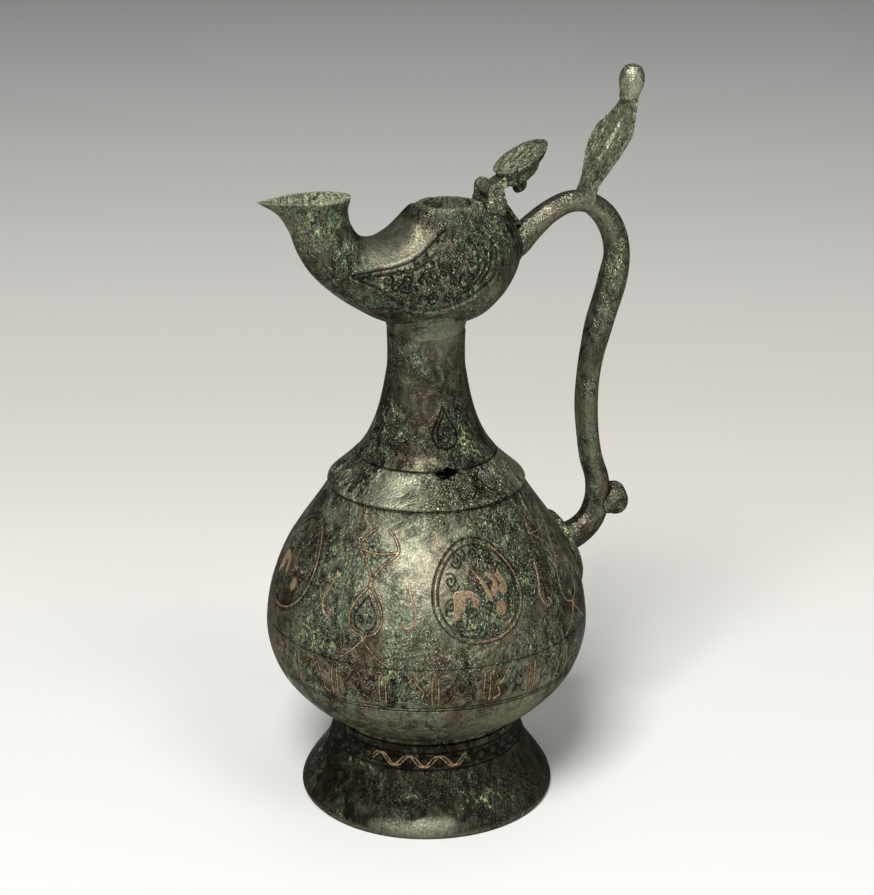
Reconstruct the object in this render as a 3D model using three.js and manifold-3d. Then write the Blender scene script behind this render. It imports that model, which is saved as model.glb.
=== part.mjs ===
// Cast and raised bronze ewer: pear-shaped body, flared foot, tall neck, lamp-shaped spout head, hinged lid
// and S-shaped handle.
// Millimetres, +Z up, spout toward -X, handle toward +X, mirror plane y = 0.

import * as THREE from 'three'
import { mergeVertices } from 'three/addons/utils/BufferGeometryUtils.js'
import Module from 'manifold-3d'

const wasm = await Module()
wasm.setup()

// Clearances and wall thicknesses
const seatGap = 0.3
const pinGap = 0.3
const overrun = 6
const holeLength = 2 * overrun
const bodyWall = 2
const neckWall = 1.9
const headWall = 1.8
const footWall = 2.4
const lidWall = 1.5

// Facet counts
const roundSides = 48
const neckSides = 32
const smallSides = 20
const bodyRows = 14
const neckRows = 10
const footRows = 10
const headRings = 22
const headSides = 24
const handleRings = 36
const leafRings = 12
const leafRows = 6
const lidRows = 5
const wireSteps = 10
const outlineSteps = 36

// Foot and base
const footHeight = 34.9
const footRadius = 52.8
const footLip = 0.6
const baseThickness = 1.6

// Body of revolution
const bodyRadius = 65.9
const bodyHeight = 99.5
const bodyBottom = footHeight + baseThickness
const bodyTop = bodyBottom + bodyHeight

// Shoulder collar and neck
const collarHeight = 12
const collarLip = 0.9
const neckFootRadius = 28.5
const neckRadius = 15.4
const neckHeight = 50
const neckBottom = bodyTop + collarHeight
const neckTop = neckBottom + neckHeight

// Spout head
const headLength = 107
const headHeight = 54.6
const headHalfWidth = 25.5
const headStubHeight = 2
const headStubOverlap = 8.5
const headBase = neckTop + headStubHeight
const fillRadius = 9.8
const fillRimWidth = 1.8
const fillRimRise = 0.5
const fillRimDrop = 14
const fillBoreDepth = 12

// Lid and hinge
const hingeX = 26.5
const hingeRise = 4.4
const lidReach = 17.2
const lidRadius = 12
const lidDomeHeight = 7.4
const lidApexShift = 5
const lidRimWall = 2.1
const lidOpenAngle = THREE.MathUtils.degToRad(150.7)
const earRadius = 3.4
const earThickness = 3.4
const earInset = 4.9
const knuckleRadius = 3
const knuckleGap = 0.6
const tongueThickness = 2.8
const tongueLength = 11.2
const pinRadius = 1.15
const strapWidth = 8
const strapThickness = 2
const strapDrop = 10
const bracketLength = 8

// Handle, knop, pad and thumb-piece
const handleStandOff = 18.1
const handleReach = bodyRadius + handleStandOff
const crownDrop = 2.8
const handleFootShare = 0.65
const handleHalfDepth = 4.6
const handleHalfWidth = 5.4
const padHalfWidth = 14
const padHeight = 34
const padThickness = 3.2
const padDrop = 5.7
const knopRadius = 7.2
const knopLength = 12.4
const leafHalfWidth = 11.8
const leafThickness = 3
const leafHollow = 2
const leafLean = 19.5
const leafLength = 39.5
const budRadius = 4.6
const budLength = 13
const budLift = 0.6
const knobRadius = 3.1
const knobLength = 5.2
const knobStemRadius = 1
const knobPeenRadius = 1.7
const knobPeenHeight = 1.2
const knobLeanShare = 0.25

// Copper inlay
const inlayDepth = 0.6
const inlaySink = 0.1
const wireHalfWidth = 0.6
const scrollHeight = 16.5
const scrollReach = 7
const scrollOffset = 17.5
const figureWidth = 24
const figureHeight = 25
const inlayHeightShare = 0.69
const inlayHeight = bodyBottom + bodyHeight * inlayHeightShare
const medallionCount = 4
const medallionStep = (2 * Math.PI) / medallionCount

// Places along a curve and the powers that ease a shape
const knopPlaceShare = 0.84
const crownPlaceShare = 0.26
const headTopShare = 0.87
const headBackEase = 6
const lidDomeEase = 1.3

// Outlines as [radius share, height share] from the bottom up, the radius of foot, collar and neck as a share
// of the way from the narrow end to the wide one
const footOutlineShares = [
  [0.943, 0], [1, 0.05], [0.962, 0.12], [0.821, 0.22], [0.573, 0.36], [0.324, 0.5], [0.141, 0.66],
  [0.046, 0.8], [0.011, 0.92], [0, 1]
]
const bodyOutlineShares = [
  [0.582, 0], [0.665, 0.035], [0.747, 0.075], [0.812, 0.116], [0.877, 0.166], [0.929, 0.216],
  [0.968, 0.276], [0.992, 0.337], [1, 0.397], [0.994, 0.457], [0.98, 0.518], [0.957, 0.578],
  [0.924, 0.638], [0.885, 0.698], [0.836, 0.759], [0.778, 0.819], [0.713, 0.879], [0.649, 0.94],
  [0.592, 1]
]
const collarOutlineShares = [[1, 0], [0.992, 0.12], [0.72, 0.36], [0.34, 0.68], [0, 1]]
const neckOutlineShares = [
  [1, 0], [0.765, 0.08], [0.585, 0.16], [0.447, 0.24], [0.336, 0.32], [0.248, 0.4], [0.176, 0.48],
  [0.115, 0.56], [0.06, 0.64], [0.015, 0.72], [0, 0.82], [0, 0.9], [0.01, 1]
]

// Head stations from the mouth to the back, as shares of the head's length and height
const headLowerShares = [
  [-0.63, 1], [-0.561, 0.9], [-0.52, 0.78], [-0.488, 0.62], [-0.439, 0.46], [-0.369, 0.32],
  [-0.28, 0.19], [-0.178, 0.075], [-0.065, 0.015], [0.056, 0], [0.168, 0.035], [0.258, 0.145],
  [0.321, 0.285], [0.358, 0.41]
]
const headUpperShares = [
  [-0.299, 1], [-0.302, 0.88], [-0.29, 0.79], [-0.254, 0.705], [-0.201, 0.677], [-0.148, 0.69],
  [-0.101, 0.75], [-0.047, 0.845], [0.019, headTopShare], [0.093, headTopShare], [0.178, headTopShare],
  [0.252, 0.865], [0.308, 0.795], [0.346, 0.68]
]
// Half width, how sharp the lower end is, and how much the upper end narrows
const headWidthShares = [
  [0.47, 1, 0], [0.443, 0.7, 0], [0.431, 0.4, 0], [0.478, 0.2, 0], [0.569, 0.1, 0], [0.686, 0, 0.1],
  [0.804, 0, 0.2], [0.91, 0, 0.35], [0.98, 0, 0.45], [1, 0, 0.45], [0.945, 0, 0.45], [0.77, 0, 0.4],
  [0.53, 0, 0.25], [0.28, 0, 0]
]
const headBackShares = [0.371, 0.53]
const headStubShares = [[1, 0], [1.01, 0.2], [1.05, 0.4], [1.12, 0.65], [1.2, 1]]
const fillRimShares = [[1.55, 0], [1.32, 0.4], [1.12, 0.75], [1.03, 0.93], [1, 1]]

// Handle centre line from the head round to the body, as shares of the way from the head's back to the
// handle's furthest reach, and of its rise
const handlePathShares = [
  [-0.195, 0.872], [-0.043, 0.89], [0.118, 0.933], [0.308, 0.975], [0.498, 0.996], [0.687, 0.988],
  [0.833, 0.953], [0.939, 0.9], [0.981, 0.835], [0.939, 0.752], [0.814, 0.627], [0.721, 0.474],
  [0.721, 0.354], [0.773, 0.24], [0.848, 0.165], [0.856, 0.103], [0.791, 0.045], [0.659, 0.008],
  [0.4, -0.018]
]
const handleGirthShares = [
  [1.15, 1.02], [1.1, 1], [1.02, 0.96], [0.9, 0.94], [0.86, 0.94], [0.9, 0.94], [0.98, 0.96], [1.02, 1],
  [1.05, 1.02], [1.18, 1.1], [1.12, 1.06], [0.92, 0.98], [0.9, 0.96], [0.92, 0.98], [0.96, 1], [1.06, 1.02],
  [1.16, 1.06], [1.22, 1.12], [1.3, 1.2]
]
// Six-sided handle section with softened ridges, as shares of its half depth and half width
const handleSectionShares = [
  [1, 0.42], [0.6, 0.8], [0.12, 1], [-0.12, 1], [-0.6, 0.8], [-1, 0.42], [-1, -0.42], [-0.6, -0.8],
  [-0.12, -1], [0.12, -1], [0.6, -0.8], [1, -0.42]
]

// Leaf stations: lean, rise, half width, thickness and hollow, as shares
const leafShares = [
  [0.02, 0, 0.36, 2.1, 0], [0.13, 0.15, 0.38, 1.8, 0.1], [0.32, 0.31, 0.68, 1.2, 0.6],
  [0.54, 0.49, 0.95, 1, 1], [0.74, 0.65, 0.98, 0.95, 1], [0.9, 0.81, 0.72, 0.95, 0.7],
  [0.98, 0.94, 0.46, 1.2, 0.25], [1, 1, 0.38, 1.4, 0]
]
const budOutlineShares = [
  [0, 0], [0.72, 0], [0.78, 0.12], [0.95, 0.35], [1, 0.52], [0.9, 0.75], [0.62, 0.92], [0, 1]
]
const knopOutlineShares = [
  [0, 0], [0.9, 0], [0.92, 0.45], [1, 0.62], [0.97, 0.8], [0.82, 0.94], [0.55, 1], [0, 1]
]
const knobOutlineShares = [[0.88, 0], [0.86, 0.16], [1, 0.45], [0.98, 0.65], [0.8, 0.86], [0.42, 0.97], [0, 1]]
const padOutlineShares = [
  [0, -0.5], [0.55, -0.36], [0.95, -0.1], [1, 0.14], [0.8, 0.36], [0.4, 0.48], [0, 0.5]
]

// Scroll wire centre line and leaping animal outline, as shares of their reach and height
const scrollShares = [
  [-0.5, 0.5], [-0.2, 0.22], [0.25, -0.08], [0.5, -0.3], [0.34, -0.46], [0, -0.5], [-0.3, -0.4]
]
const figureShares = [
  [-0.46, -0.42], [-0.44, -0.1], [-0.36, 0.12], [-0.12, 0.2], [0.12, 0.26], [0.18, 0.42], [0.26, 0.5],
  [0.38, 0.42], [0.5, 0.3], [0.38, 0.24], [0.36, 0.06], [0.46, -0.12], [0.5, -0.34], [0.38, -0.36],
  [0.32, -0.14], [0.2, 0], [0.02, -0.02], [-0.14, -0.06], [-0.22, -0.22], [-0.26, -0.46], [-0.36, -0.5]
]

const bronzeDark = new THREE.MeshStandardMaterial({ color: 0x3d4234, roughness: 0.55, metalness: 0.75 })
const bronzeFoot = new THREE.MeshStandardMaterial({ color: 0x34362d, roughness: 0.5, metalness: 0.75 })
const bronzeLight = new THREE.MeshStandardMaterial({ color: 0x57594a, roughness: 0.5, metalness: 0.75 })
const copper = new THREE.MeshStandardMaterial({ color: 0x8a5d45, roughness: 0.5, metalness: 0.8 })
const iron = new THREE.MeshStandardMaterial({ color: 0x3a332b, roughness: 0.7, metalness: 0.6 })

// One closed body: shared vertices merged, empty triangles dropped, faces pointing out
function closedBody(geometry) {
  const bare = geometry.index ? geometry.toNonIndexed() : geometry.clone()
  for (const name of Object.keys(bare.attributes)) {
    if (name !== 'position') bare.deleteAttribute(name)
  }
  const merged = mergeVertices(bare)
  const kept = []
  const found = merged.index.array
  for (let i = 0; i < found.length; i += 3) {
    const [a, b, c] = [found[i], found[i + 1], found[i + 2]]
    if (a !== b && b !== c && c !== a) kept.push(a, b, c)
  }
  if (signedVolume(merged.attributes.position, kept) < 0) kept.reverse()
  merged.setIndex(kept)
  return merged
}

function signedVolume(position, index) {
  const corners = [new THREE.Vector3(), new THREE.Vector3(), new THREE.Vector3()]
  let total = 0
  for (let i = 0; i < index.length; i += 3) {
    corners.forEach((corner, k) => corner.fromBufferAttribute(position, index[i + k]))
    total += corners[0].dot(corners[1].clone().cross(corners[2]))
  }
  return total
}

function toSolid(geometry) {
  const body = closedBody(geometry)
  const vertProperties = new Float32Array(body.attributes.position.array)
  const triVerts = new Uint32Array(body.index.array)
  return new wasm.Manifold(new wasm.Mesh({ numProp: 3, vertProperties, triVerts }))
}

function toGeometry(solid) {
  const mesh = solid.getMesh()
  const geometry = new THREE.BufferGeometry()
  geometry.setAttribute('position', new THREE.Float32BufferAttribute(mesh.vertProperties, 3))
  geometry.setIndex(Array.from(mesh.triVerts))
  return geometry
}

function makeMesh(name, shape, material) {
  const geometry = shape.isBufferGeometry ? closedBody(shape) : toGeometry(shape)
  geometry.computeVertexNormals()
  const mesh = new THREE.Mesh(geometry, material)
  mesh.name = name
  return mesh
}

// Solid or ring of revolution about the Z axis from a list of Vector2(radius, height)
function revolve(points, sides) {
  const geometry = new THREE.LatheGeometry(points, sides)
  geometry.rotateX(Math.PI / 2)
  return geometry
}

function outline(shares, radius, bottom, height) {
  return shares.map(([r, z]) => new THREE.Vector2(r * radius, bottom + z * height))
}

// Outline whose radius runs between two radii
function taperOutline(shares, topRadius, bottomRadius, bottom, height) {
  const spread = bottomRadius - topRadius
  return shares.map(([r, z]) => new THREE.Vector2(topRadius + r * spread, bottom + z * height))
}

function smooth(points, rows) {
  return new THREE.SplineCurve(points).getPoints(rows)
}

// Outline moved along its own normals, its ends kept at their heights
function offsetOutline(points, distance) {
  const last = points.length - 1
  return points.map((point, i) => {
    const before = points[Math.max(i - 1, 0)]
    const after = points[Math.min(i + 1, last)]
    const along = after.clone().sub(before).normalize()
    const moved = new THREE.Vector2(point.x + along.y * distance, point.y - along.x * distance)
    moved.y = THREE.MathUtils.clamp(moved.y, points[0].y, points[last].y)
    if (i === 0 || i === last) moved.y = point.y
    return moved
  })
}

// Open-ended wall of revolution with flat ends
function wallOf(points, wall, sides) {
  const inner = offsetOutline(points, -wall).filter((point, i) => i % 2 === 0)
  const loop = [...points, ...inner.reverse(), points[0].clone()]
  return revolve(loop, sides)
}

// Filled solid of revolution from an outline that ends off the axis
function filled(points, sides) {
  const first = new THREE.Vector2(0, points[0].y)
  const last = new THREE.Vector2(0, points[points.length - 1].y)
  return revolve([first, ...points, last], sides)
}

function cylinder(radius, length, sides) {
  return new THREE.CylinderGeometry(radius, radius, length, sides)
}

function verticalCylinder(radius, bottom, top, x) {
  const geometry = cylinder(radius, top - bottom, neckSides)
  geometry.rotateX(Math.PI / 2)
  geometry.translate(x, 0, (bottom + top) / 2)
  return geometry
}

function boxBetween(low, high) {
  const size = high.clone().sub(low)
  const geometry = new THREE.BoxGeometry(size.x, size.y, size.z)
  const centre = low.clone().add(high).multiplyScalar(1 / 2)
  geometry.translate(centre.x, centre.y, centre.z)
  return geometry
}

// Skin through rings of points, closed at both ends by fans to the two tips
function loft(rings, startTip, endTip) {
  const sides = rings[0].length
  const points = [startTip, ...rings.flat(), endTip]
  const index = []
  const last = points.length - 1
  const at = (ring, side) => 1 + ring * sides + (side % sides)
  for (let side = 0; side < sides; side += 1) {
    index.push(0, at(0, side + 1), at(0, side))
    index.push(last, at(rings.length - 1, side), at(rings.length - 1, side + 1))
    for (let ring = 0; ring < rings.length - 1; ring += 1) {
      index.push(at(ring, side), at(ring, side + 1), at(ring + 1, side))
      index.push(at(ring, side + 1), at(ring + 1, side + 1), at(ring + 1, side))
    }
  }
  const geometry = new THREE.BufferGeometry().setFromPoints(points)
  geometry.setIndex(index)
  return geometry
}

function middleOf(ring) {
  const sum = new THREE.Vector3()
  ring.forEach(point => sum.add(point))
  return sum.divideScalar(ring.length)
}

// Smooth curve through rows of up to three shares
function curveThrough(rows) {
  return new THREE.CatmullRomCurve3(rows.map(([a, b, c]) => new THREE.Vector3(a, b, c ?? 0)))
}

// Foot, base, body, collar and neck
const bodyPoints = smooth(outline(bodyOutlineShares, bodyRadius, bodyBottom, bodyHeight), bodyRows)
const bodySeatRadius = bodyPoints[0].x
const collarRadius = bodyPoints[bodyRows].x + collarLip
const footPoints = smooth(
  taperOutline(footOutlineShares, bodySeatRadius + footLip, footRadius, 0, footHeight), footRows)
const collarPoints = taperOutline(collarOutlineShares, neckFootRadius, collarRadius, bodyTop, collarHeight)
const neckPoints = smooth(
  taperOutline(neckOutlineShares, neckRadius, neckFootRadius, neckBottom, neckHeight), neckRows)

function bodySolid(offset) {
  return toSolid(filled(offsetOutline(bodyPoints, offset), roundSides))
}

function makeFoot() {
  return makeMesh('foot_ring', wallOf(footPoints, footWall, roundSides), bronzeFoot)
}

function makeBase() {
  const geometry = verticalCylinder(bodySeatRadius, footHeight, bodyBottom, 0)
  return makeMesh('base_disc', geometry, bronzeFoot)
}

function makeCollar() {
  return makeMesh('shoulder_collar', wallOf(collarPoints, bodyWall, roundSides), bronzeLight)
}

function makeNeck() {
  return makeMesh('neck', wallOf(neckPoints, neckWall, neckSides), bronzeDark)
}

// Head shell: each ring spans from a lower point to an upper point in the mirror plane
const headLower = curveThrough(headLowerShares)
const headUpper = curveThrough(headUpperShares)
const headWidths = curveThrough(headWidthShares)

function headPoint([x, z]) {
  return new THREE.Vector3(x * headLength, 0, headBase + z * headHeight)
}

function headRing(along, offset) {
  const lower = headPoint(headLower.getPoint(along).toArray())
  const upper = headPoint(headUpper.getPoint(along).toArray())
  const width = headWidths.getPoint(along)
  const chord = upper.clone().sub(lower).normalize()
  const backShift = offset * along ** headBackEase
  lower.addScaledVector(chord, -offset)
  upper.addScaledVector(chord, offset)
  const halfWidth = width.x * headHalfWidth + offset
  const ring = []
  for (let side = 0; side < headSides; side += 1) {
    const turn = (2 * Math.PI * side) / headSides
    const rise = (1 - Math.cos(turn)) / 2
    const sharpened = rise ** (Math.max(width.y, 0) / 2)
    const narrowed = 1 - width.z * rise ** 2
    const point = lower.clone().lerp(upper, rise)
    point.x += backShift
    point.y = halfWidth * Math.sin(turn) * sharpened * narrowed
    ring.push(point)
  }
  return ring
}

// The head's loft moved out by an offset; an inner one is run out through the mouth
function headLoft(offset, mouthOverrun) {
  const rings = []
  for (let i = 0; i <= headRings; i += 1) rings.push(headRing(i / headRings, offset))
  if (mouthOverrun > 0) {
    rings.unshift(rings[0].map(point => point.clone().setZ(point.z + mouthOverrun)))
  }
  const back = headPoint(headBackShares)
  back.x += offset
  return loft(rings, middleOf(rings[0]), back)
}

const fillX = hingeX - lidReach
const headTop = headBase + headTopShare * headHeight
const fillTop = headTop + fillRimRise
const hingeZ = fillTop + hingeRise
const lidSeat = hingeRise - seatGap

function makeHead() {
  const stub = outline(headStubShares, neckRadius, neckTop, headStubHeight + headStubOverlap)
  const rimHeight = fillRimDrop + fillRimRise
  const rim = outline(fillRimShares, fillRadius + fillRimWidth, headTop - fillRimDrop, rimHeight)
  const bore = verticalCylinder(neckRadius - neckWall, neckTop - overrun, headBase + overrun, 0)
  const fillBore = verticalCylinder(fillRadius, headTop - fillBoreDepth, fillTop + overrun, fillX)
  const shell = toSolid(headLoft(0, 0))
    .add(toSolid(filled(stub, neckSides)))
    .add(toSolid(filled(rim, neckSides).translate(fillX, 0, 0)))
    .subtract(toSolid(headLoft(-headWall, overrun)))
    .subtract(toSolid(bore))
    .subtract(toSolid(fillBore))
  return makeMesh('spout_head', shell, bronzeDark)
}

// Hinge bracket, pin and lid
function crossCylinder(radius, length, x, y, z) {
  return cylinder(radius, length, smallSides).translate(x, y, z)
}

function makeBracket() {
  const outerHalf = earInset + earThickness
  const blockTop = hingeZ - knuckleRadius - knuckleGap
  const blockLow = new THREE.Vector3(hingeX - bracketLength / 2, -outerHalf, headTop - overrun)
  const blockHigh = new THREE.Vector3(hingeX + bracketLength / 2, outerHalf, blockTop)
  let bracket = toSolid(boxBetween(blockLow, blockHigh))
  for (const side of [-1, 1]) {
    const y = side * (earInset + earThickness / 2)
    const ear = crossCylinder(earRadius, earThickness, hingeX, y, hingeZ)
    const postLow = new THREE.Vector3(hingeX - earRadius, y - earThickness / 2, headTop - overrun)
    const postHigh = new THREE.Vector3(hingeX + earRadius, y + earThickness / 2, hingeZ)
    bracket = bracket.add(toSolid(ear)).add(toSolid(boxBetween(postLow, postHigh)))
  }
  const strapLow = new THREE.Vector3(hingeX, -strapWidth / 2, headTop - strapDrop)
  const strapHigh = new THREE.Vector3(headLength, strapWidth / 2, blockTop)
  const strap = toSolid(headLoft(strapThickness, 0)).intersect(toSolid(boxBetween(strapLow, strapHigh)))
  const pinHole = crossCylinder(pinRadius + pinGap, outerHalf * 2 + overrun, hingeX, 0, hingeZ)
  const seated = bracket.add(strap).subtract(toSolid(headLoft(seatGap, 0))).subtract(toSolid(pinHole))
  return makeMesh('hinge_bracket', seated, bronzeLight)
}

function makePin() {
  const length = (earInset + earThickness) * 2
  return makeMesh('hinge_pin', crossCylinder(pinRadius, length, hingeX, 0, hingeZ), iron)
}

// Lid outline leaned toward the hinge, in a frame whose origin is the hinge axis and where it is closed
function leanedDome(outerRadius, domeHeight, bottom) {
  const points = [new THREE.Vector2(0, 0), new THREE.Vector2(outerRadius, 0)]
  for (let row = 1; row <= lidRows; row += 1) {
    const turn = (row / lidRows) * (Math.PI / 2)
    points.push(new THREE.Vector2(outerRadius * Math.cos(turn), domeHeight * Math.sin(turn) ** lidDomeEase))
  }
  points[points.length - 1].x = 0
  const geometry = revolve(points, neckSides)
  const position = geometry.attributes.position
  for (let i = 0; i < position.count; i += 1) {
    const rise = position.getZ(i) / domeHeight
    position.setX(i, position.getX(i) + rise ** 2 * lidApexShift)
  }
  return geometry.translate(-lidReach, 0, bottom)
}

function makeLid() {
  const dome = toSolid(leanedDome(lidRadius, lidDomeHeight, -lidSeat))
  const hollow = toSolid(leanedDome(lidRadius - lidRimWall, lidDomeHeight - lidWall, -lidSeat))
  const halfTongue = earInset - seatGap
  const tongueLow = new THREE.Vector3(-tongueLength, -halfTongue, -tongueThickness / 2)
  const tongueHigh = new THREE.Vector3(0, halfTongue, tongueThickness / 2)
  const tongue = toSolid(boxBetween(tongueLow, tongueHigh))
  const knuckle = toSolid(crossCylinder(knuckleRadius, halfTongue * 2, 0, 0, 0))
  const pinHole = toSolid(crossCylinder(pinRadius + pinGap, halfTongue * 2 + overrun, 0, 0, 0))
  const stemBore = cylinder(knobStemRadius + pinGap, holeLength, smallSides).rotateX(Math.PI / 2)
  const knobHole = toSolid(knobPlaced(stemBore))
  const solid = dome.add(tongue).subtract(hollow).add(knuckle).subtract(pinHole).subtract(knobHole)
  return makeMesh('lid', solid, bronzeDark)
}

function knobPlaced(geometry) {
  return geometry.translate(-lidReach + lidApexShift, 0, lidDomeHeight - lidSeat)
}

// Bud knob with a stem through the lid and a peened end under it
function makeKnob() {
  const peenTop = -lidWall - seatGap
  const peenBottom = peenTop - knobPeenHeight
  const bud = outline(knobOutlineShares, knobRadius, seatGap, knobLength)
  const stem = [
    new THREE.Vector2(0, peenBottom),
    new THREE.Vector2(knobPeenRadius, peenBottom),
    new THREE.Vector2(knobPeenRadius, peenTop),
    new THREE.Vector2(knobStemRadius, peenTop),
    new THREE.Vector2(knobStemRadius, seatGap)
  ]
  const geometry = revolve([...stem, ...bud], smallSides)
  const position = geometry.attributes.position
  for (let i = 0; i < position.count; i += 1) {
    position.setX(i, position.getX(i) + Math.max(position.getZ(i) - seatGap, 0) * knobLeanShare)
  }
  return makeMesh('lid_knob', knobPlaced(geometry), bronzeDark)
}

// Handle
const handleFoot = bodyBottom + bodyHeight * handleFootShare
const handleRise = headTop - crownDrop - handleFoot
const headBackX = headPoint(headBackShares).x
const handlePath = curveThrough(handlePathShares.map(([x, z]) => {
  return [THREE.MathUtils.lerp(headBackX, handleReach, x), 0, handleFoot + z * handleRise]
}))
const handleGirth = curveThrough(handleGirthShares)

function handleRing(along, offset) {
  const middle = handlePath.getPoint(along)
  const tangent = handlePath.getTangent(along)
  const outward = new THREE.Vector3(tangent.z, 0, -tangent.x)
  const girth = handleGirth.getPoint(along)
  const depth = girth.x * handleHalfDepth + offset
  const width = girth.y * handleHalfWidth + offset
  return handleSectionShares.map(([n, y]) => {
    const point = middle.clone().addScaledVector(outward, n * depth)
    return point.setY(y * width)
  })
}

function handleSolid(offset) {
  const rings = []
  for (let i = 0; i <= handleRings; i += 1) rings.push(handleRing(i / handleRings, offset))
  return toSolid(loft(rings, middleOf(rings[0]), middleOf(rings[handleRings])))
}

function makeHandle() {
  const bar = handleSolid(0)
    .subtract(toSolid(headLoft(seatGap, 0)))
    .subtract(bodySolid(padThickness + seatGap))
  return makeMesh('handle_bar', bar, bronzeDark)
}

// Prism of a flat outline, its face turned to look out along an angle about the Z axis
function outwardPrism(shape, angle, height) {
  const depth = bodyRadius
  const geometry = new THREE.ExtrudeGeometry(shape, { depth, bevelEnabled: false, curveSegments: 1 })
  const along = new THREE.Vector3(-Math.sin(angle), Math.cos(angle), 0)
  const out = new THREE.Vector3(Math.cos(angle), Math.sin(angle), 0)
  const placed = new THREE.Matrix4().makeBasis(along, new THREE.Vector3(0, 0, 1), out)
  placed.setPosition(out.x * bodyRadius / 2, out.y * bodyRadius / 2, height)
  return toSolid(geometry.applyMatrix4(placed))
}

function mirroredShape(shares, halfWidth, height) {
  const right = shares.map(([x, y]) => new THREE.Vector2(x * halfWidth, y * height))
  const left = right.slice(1, -1).reverse().map(point => new THREE.Vector2(-point.x, point.y))
  return new THREE.Shape([...right, ...left])
}

function makePad() {
  const shape = mirroredShape(padOutlineShares, padHalfWidth, padHeight)
  const prism = outwardPrism(shape, 0, handleFoot - padDrop)
  const pad = prism.intersect(bodySolid(padThickness)).subtract(bodySolid(seatGap))
  return makeMesh('handle_pad', pad, bronzeDark)
}

function makeKnop() {
  const at = handlePath.getPoint(knopPlaceShare)
  const geometry = revolve(outline(knopOutlineShares, knopRadius, 0, knopLength), smallSides)
  geometry.rotateY(Math.PI / 2)
  geometry.translate(at.x, 0, at.z)
  return makeMesh('handle_knop', toSolid(geometry).subtract(handleSolid(seatGap)), bronzeLight)
}

// Thumb-piece leaf and bud
const crown = handlePath.getPoint(crownPlaceShare)
const leafSpine = curveThrough(leafShares.map(([x, z]) => {
  return [crown.x + x * leafLean, 0, crown.z + z * leafLength]
}))
const leafForms = curveThrough(leafShares.map(([, , width, thickness, hollow]) => [width, thickness, hollow]))

function leafRing(along) {
  const middle = leafSpine.getPoint(along)
  const tangent = leafSpine.getTangent(along)
  const back = new THREE.Vector3(tangent.z, 0, -tangent.x)
  const form = leafForms.getPoint(along)
  const front = []
  const rear = []
  for (let row = 0; row <= leafRows; row += 1) {
    const across = (row / leafRows) * 2 - 1
    const thickness = form.y * leafThickness * (1 - across ** 2 / 2)
    const hollow = form.z * leafHollow * across ** 2
    const y = across * form.x * leafHalfWidth
    front.push(middle.clone().addScaledVector(back, -hollow - thickness / 2).setY(y))
    rear.unshift(middle.clone().addScaledVector(back, -hollow + thickness / 2).setY(y))
  }
  return [...front, ...rear]
}

function makeLeaf() {
  const rings = []
  for (let i = 0; i <= leafRings; i += 1) rings.push(leafRing(i / leafRings))
  const leaf = toSolid(loft(rings, middleOf(rings[0]), middleOf(rings[leafRings])))
  return makeMesh('thumb_leaf', leaf.subtract(handleSolid(seatGap)), bronzeLight)
}

function makeBud() {
  const tip = leafSpine.getPoint(1)
  const tangent = leafSpine.getTangent(1)
  const geometry = revolve(outline(budOutlineShares, budRadius, seatGap, budLength), smallSides)
  geometry.rotateY(Math.atan2(tangent.x, tangent.z) / 2)
  geometry.translate(tip.x, tip.y, tip.z + budLift)
  return makeMesh('thumb_bud', geometry, bronzeLight)
}

// Copper inlay: a flat outline let into the body, and the pocket that it lies in
function ribbonShape(centres, halfWidth) {
  const curve = new THREE.SplineCurve(centres)
  const left = []
  const right = []
  for (let i = 0; i <= wireSteps; i += 1) {
    const point = curve.getPoint(i / wireSteps)
    const along = curve.getTangent(i / wireSteps)
    left.push(new THREE.Vector2(point.x - along.y * halfWidth, point.y + along.x * halfWidth))
    right.unshift(new THREE.Vector2(point.x + along.y * halfWidth, point.y - along.x * halfWidth))
  }
  return new THREE.Shape([...left, ...right])
}

function scrollShape(side, grow) {
  const centres = scrollShares.map(([x, y]) => {
    return new THREE.Vector2(side * (scrollOffset + x * scrollReach), y * scrollHeight)
  })
  return ribbonShape(centres, wireHalfWidth + grow)
}

// Outline of the animal, each point moved out along the outline's normal by the growth
function figureShape(grow) {
  const corners = figureShares.map(([x, y]) => new THREE.Vector2(x * figureWidth, y * figureHeight))
  const points = new THREE.SplineCurve([...corners, corners[0]]).getPoints(outlineSteps).slice(0, -1)
  return new THREE.Shape(points.map((point, i) => {
    const before = points[(i + points.length - 1) % points.length]
    const after = points[(i + 1) % points.length]
    const along = after.clone().sub(before).normalize()
    return new THREE.Vector2(point.x - along.y * grow, point.y + along.x * grow)
  }))
}

const scrollSides = [-1, 1]
const inlays = []
for (let place = 0; place < medallionCount; place += 1) {
  const angle = -Math.PI / 2 - place * medallionStep
  const besideAngle = angle - medallionStep / 2
  if (place < medallionCount - 1) {
    const name = `inlay_figure_${place + 1}`
    inlays.push({ name, angle, shape: figureShape(0), pocket: figureShape(seatGap) })
  }
  const scrollsBefore = place * scrollSides.length
  scrollSides.forEach((side, i) => {
    const name = `inlay_scroll_${scrollsBefore + i + 1}`
    const shape = scrollShape(side, 0)
    inlays.push({ name, angle: besideAngle, shape, pocket: scrollShape(side, seatGap) })
  })
}

function makeInlay({ name, angle, shape }) {
  const layer = bodySolid(-inlaySink).subtract(bodySolid(-inlaySink - inlayDepth))
  return makeMesh(name, outwardPrism(shape, angle, inlayHeight).intersect(layer), copper)
}

function makeBody() {
  const floor = bodySolid(-inlaySink - inlayDepth - seatGap)
  let body = toSolid(wallOf(bodyPoints, bodyWall, roundSides))
  for (const { angle, pocket } of inlays) {
    body = body.subtract(outwardPrism(pocket, angle, inlayHeight).subtract(floor))
  }
  return makeMesh('body_shell', body, bronzeDark)
}

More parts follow.
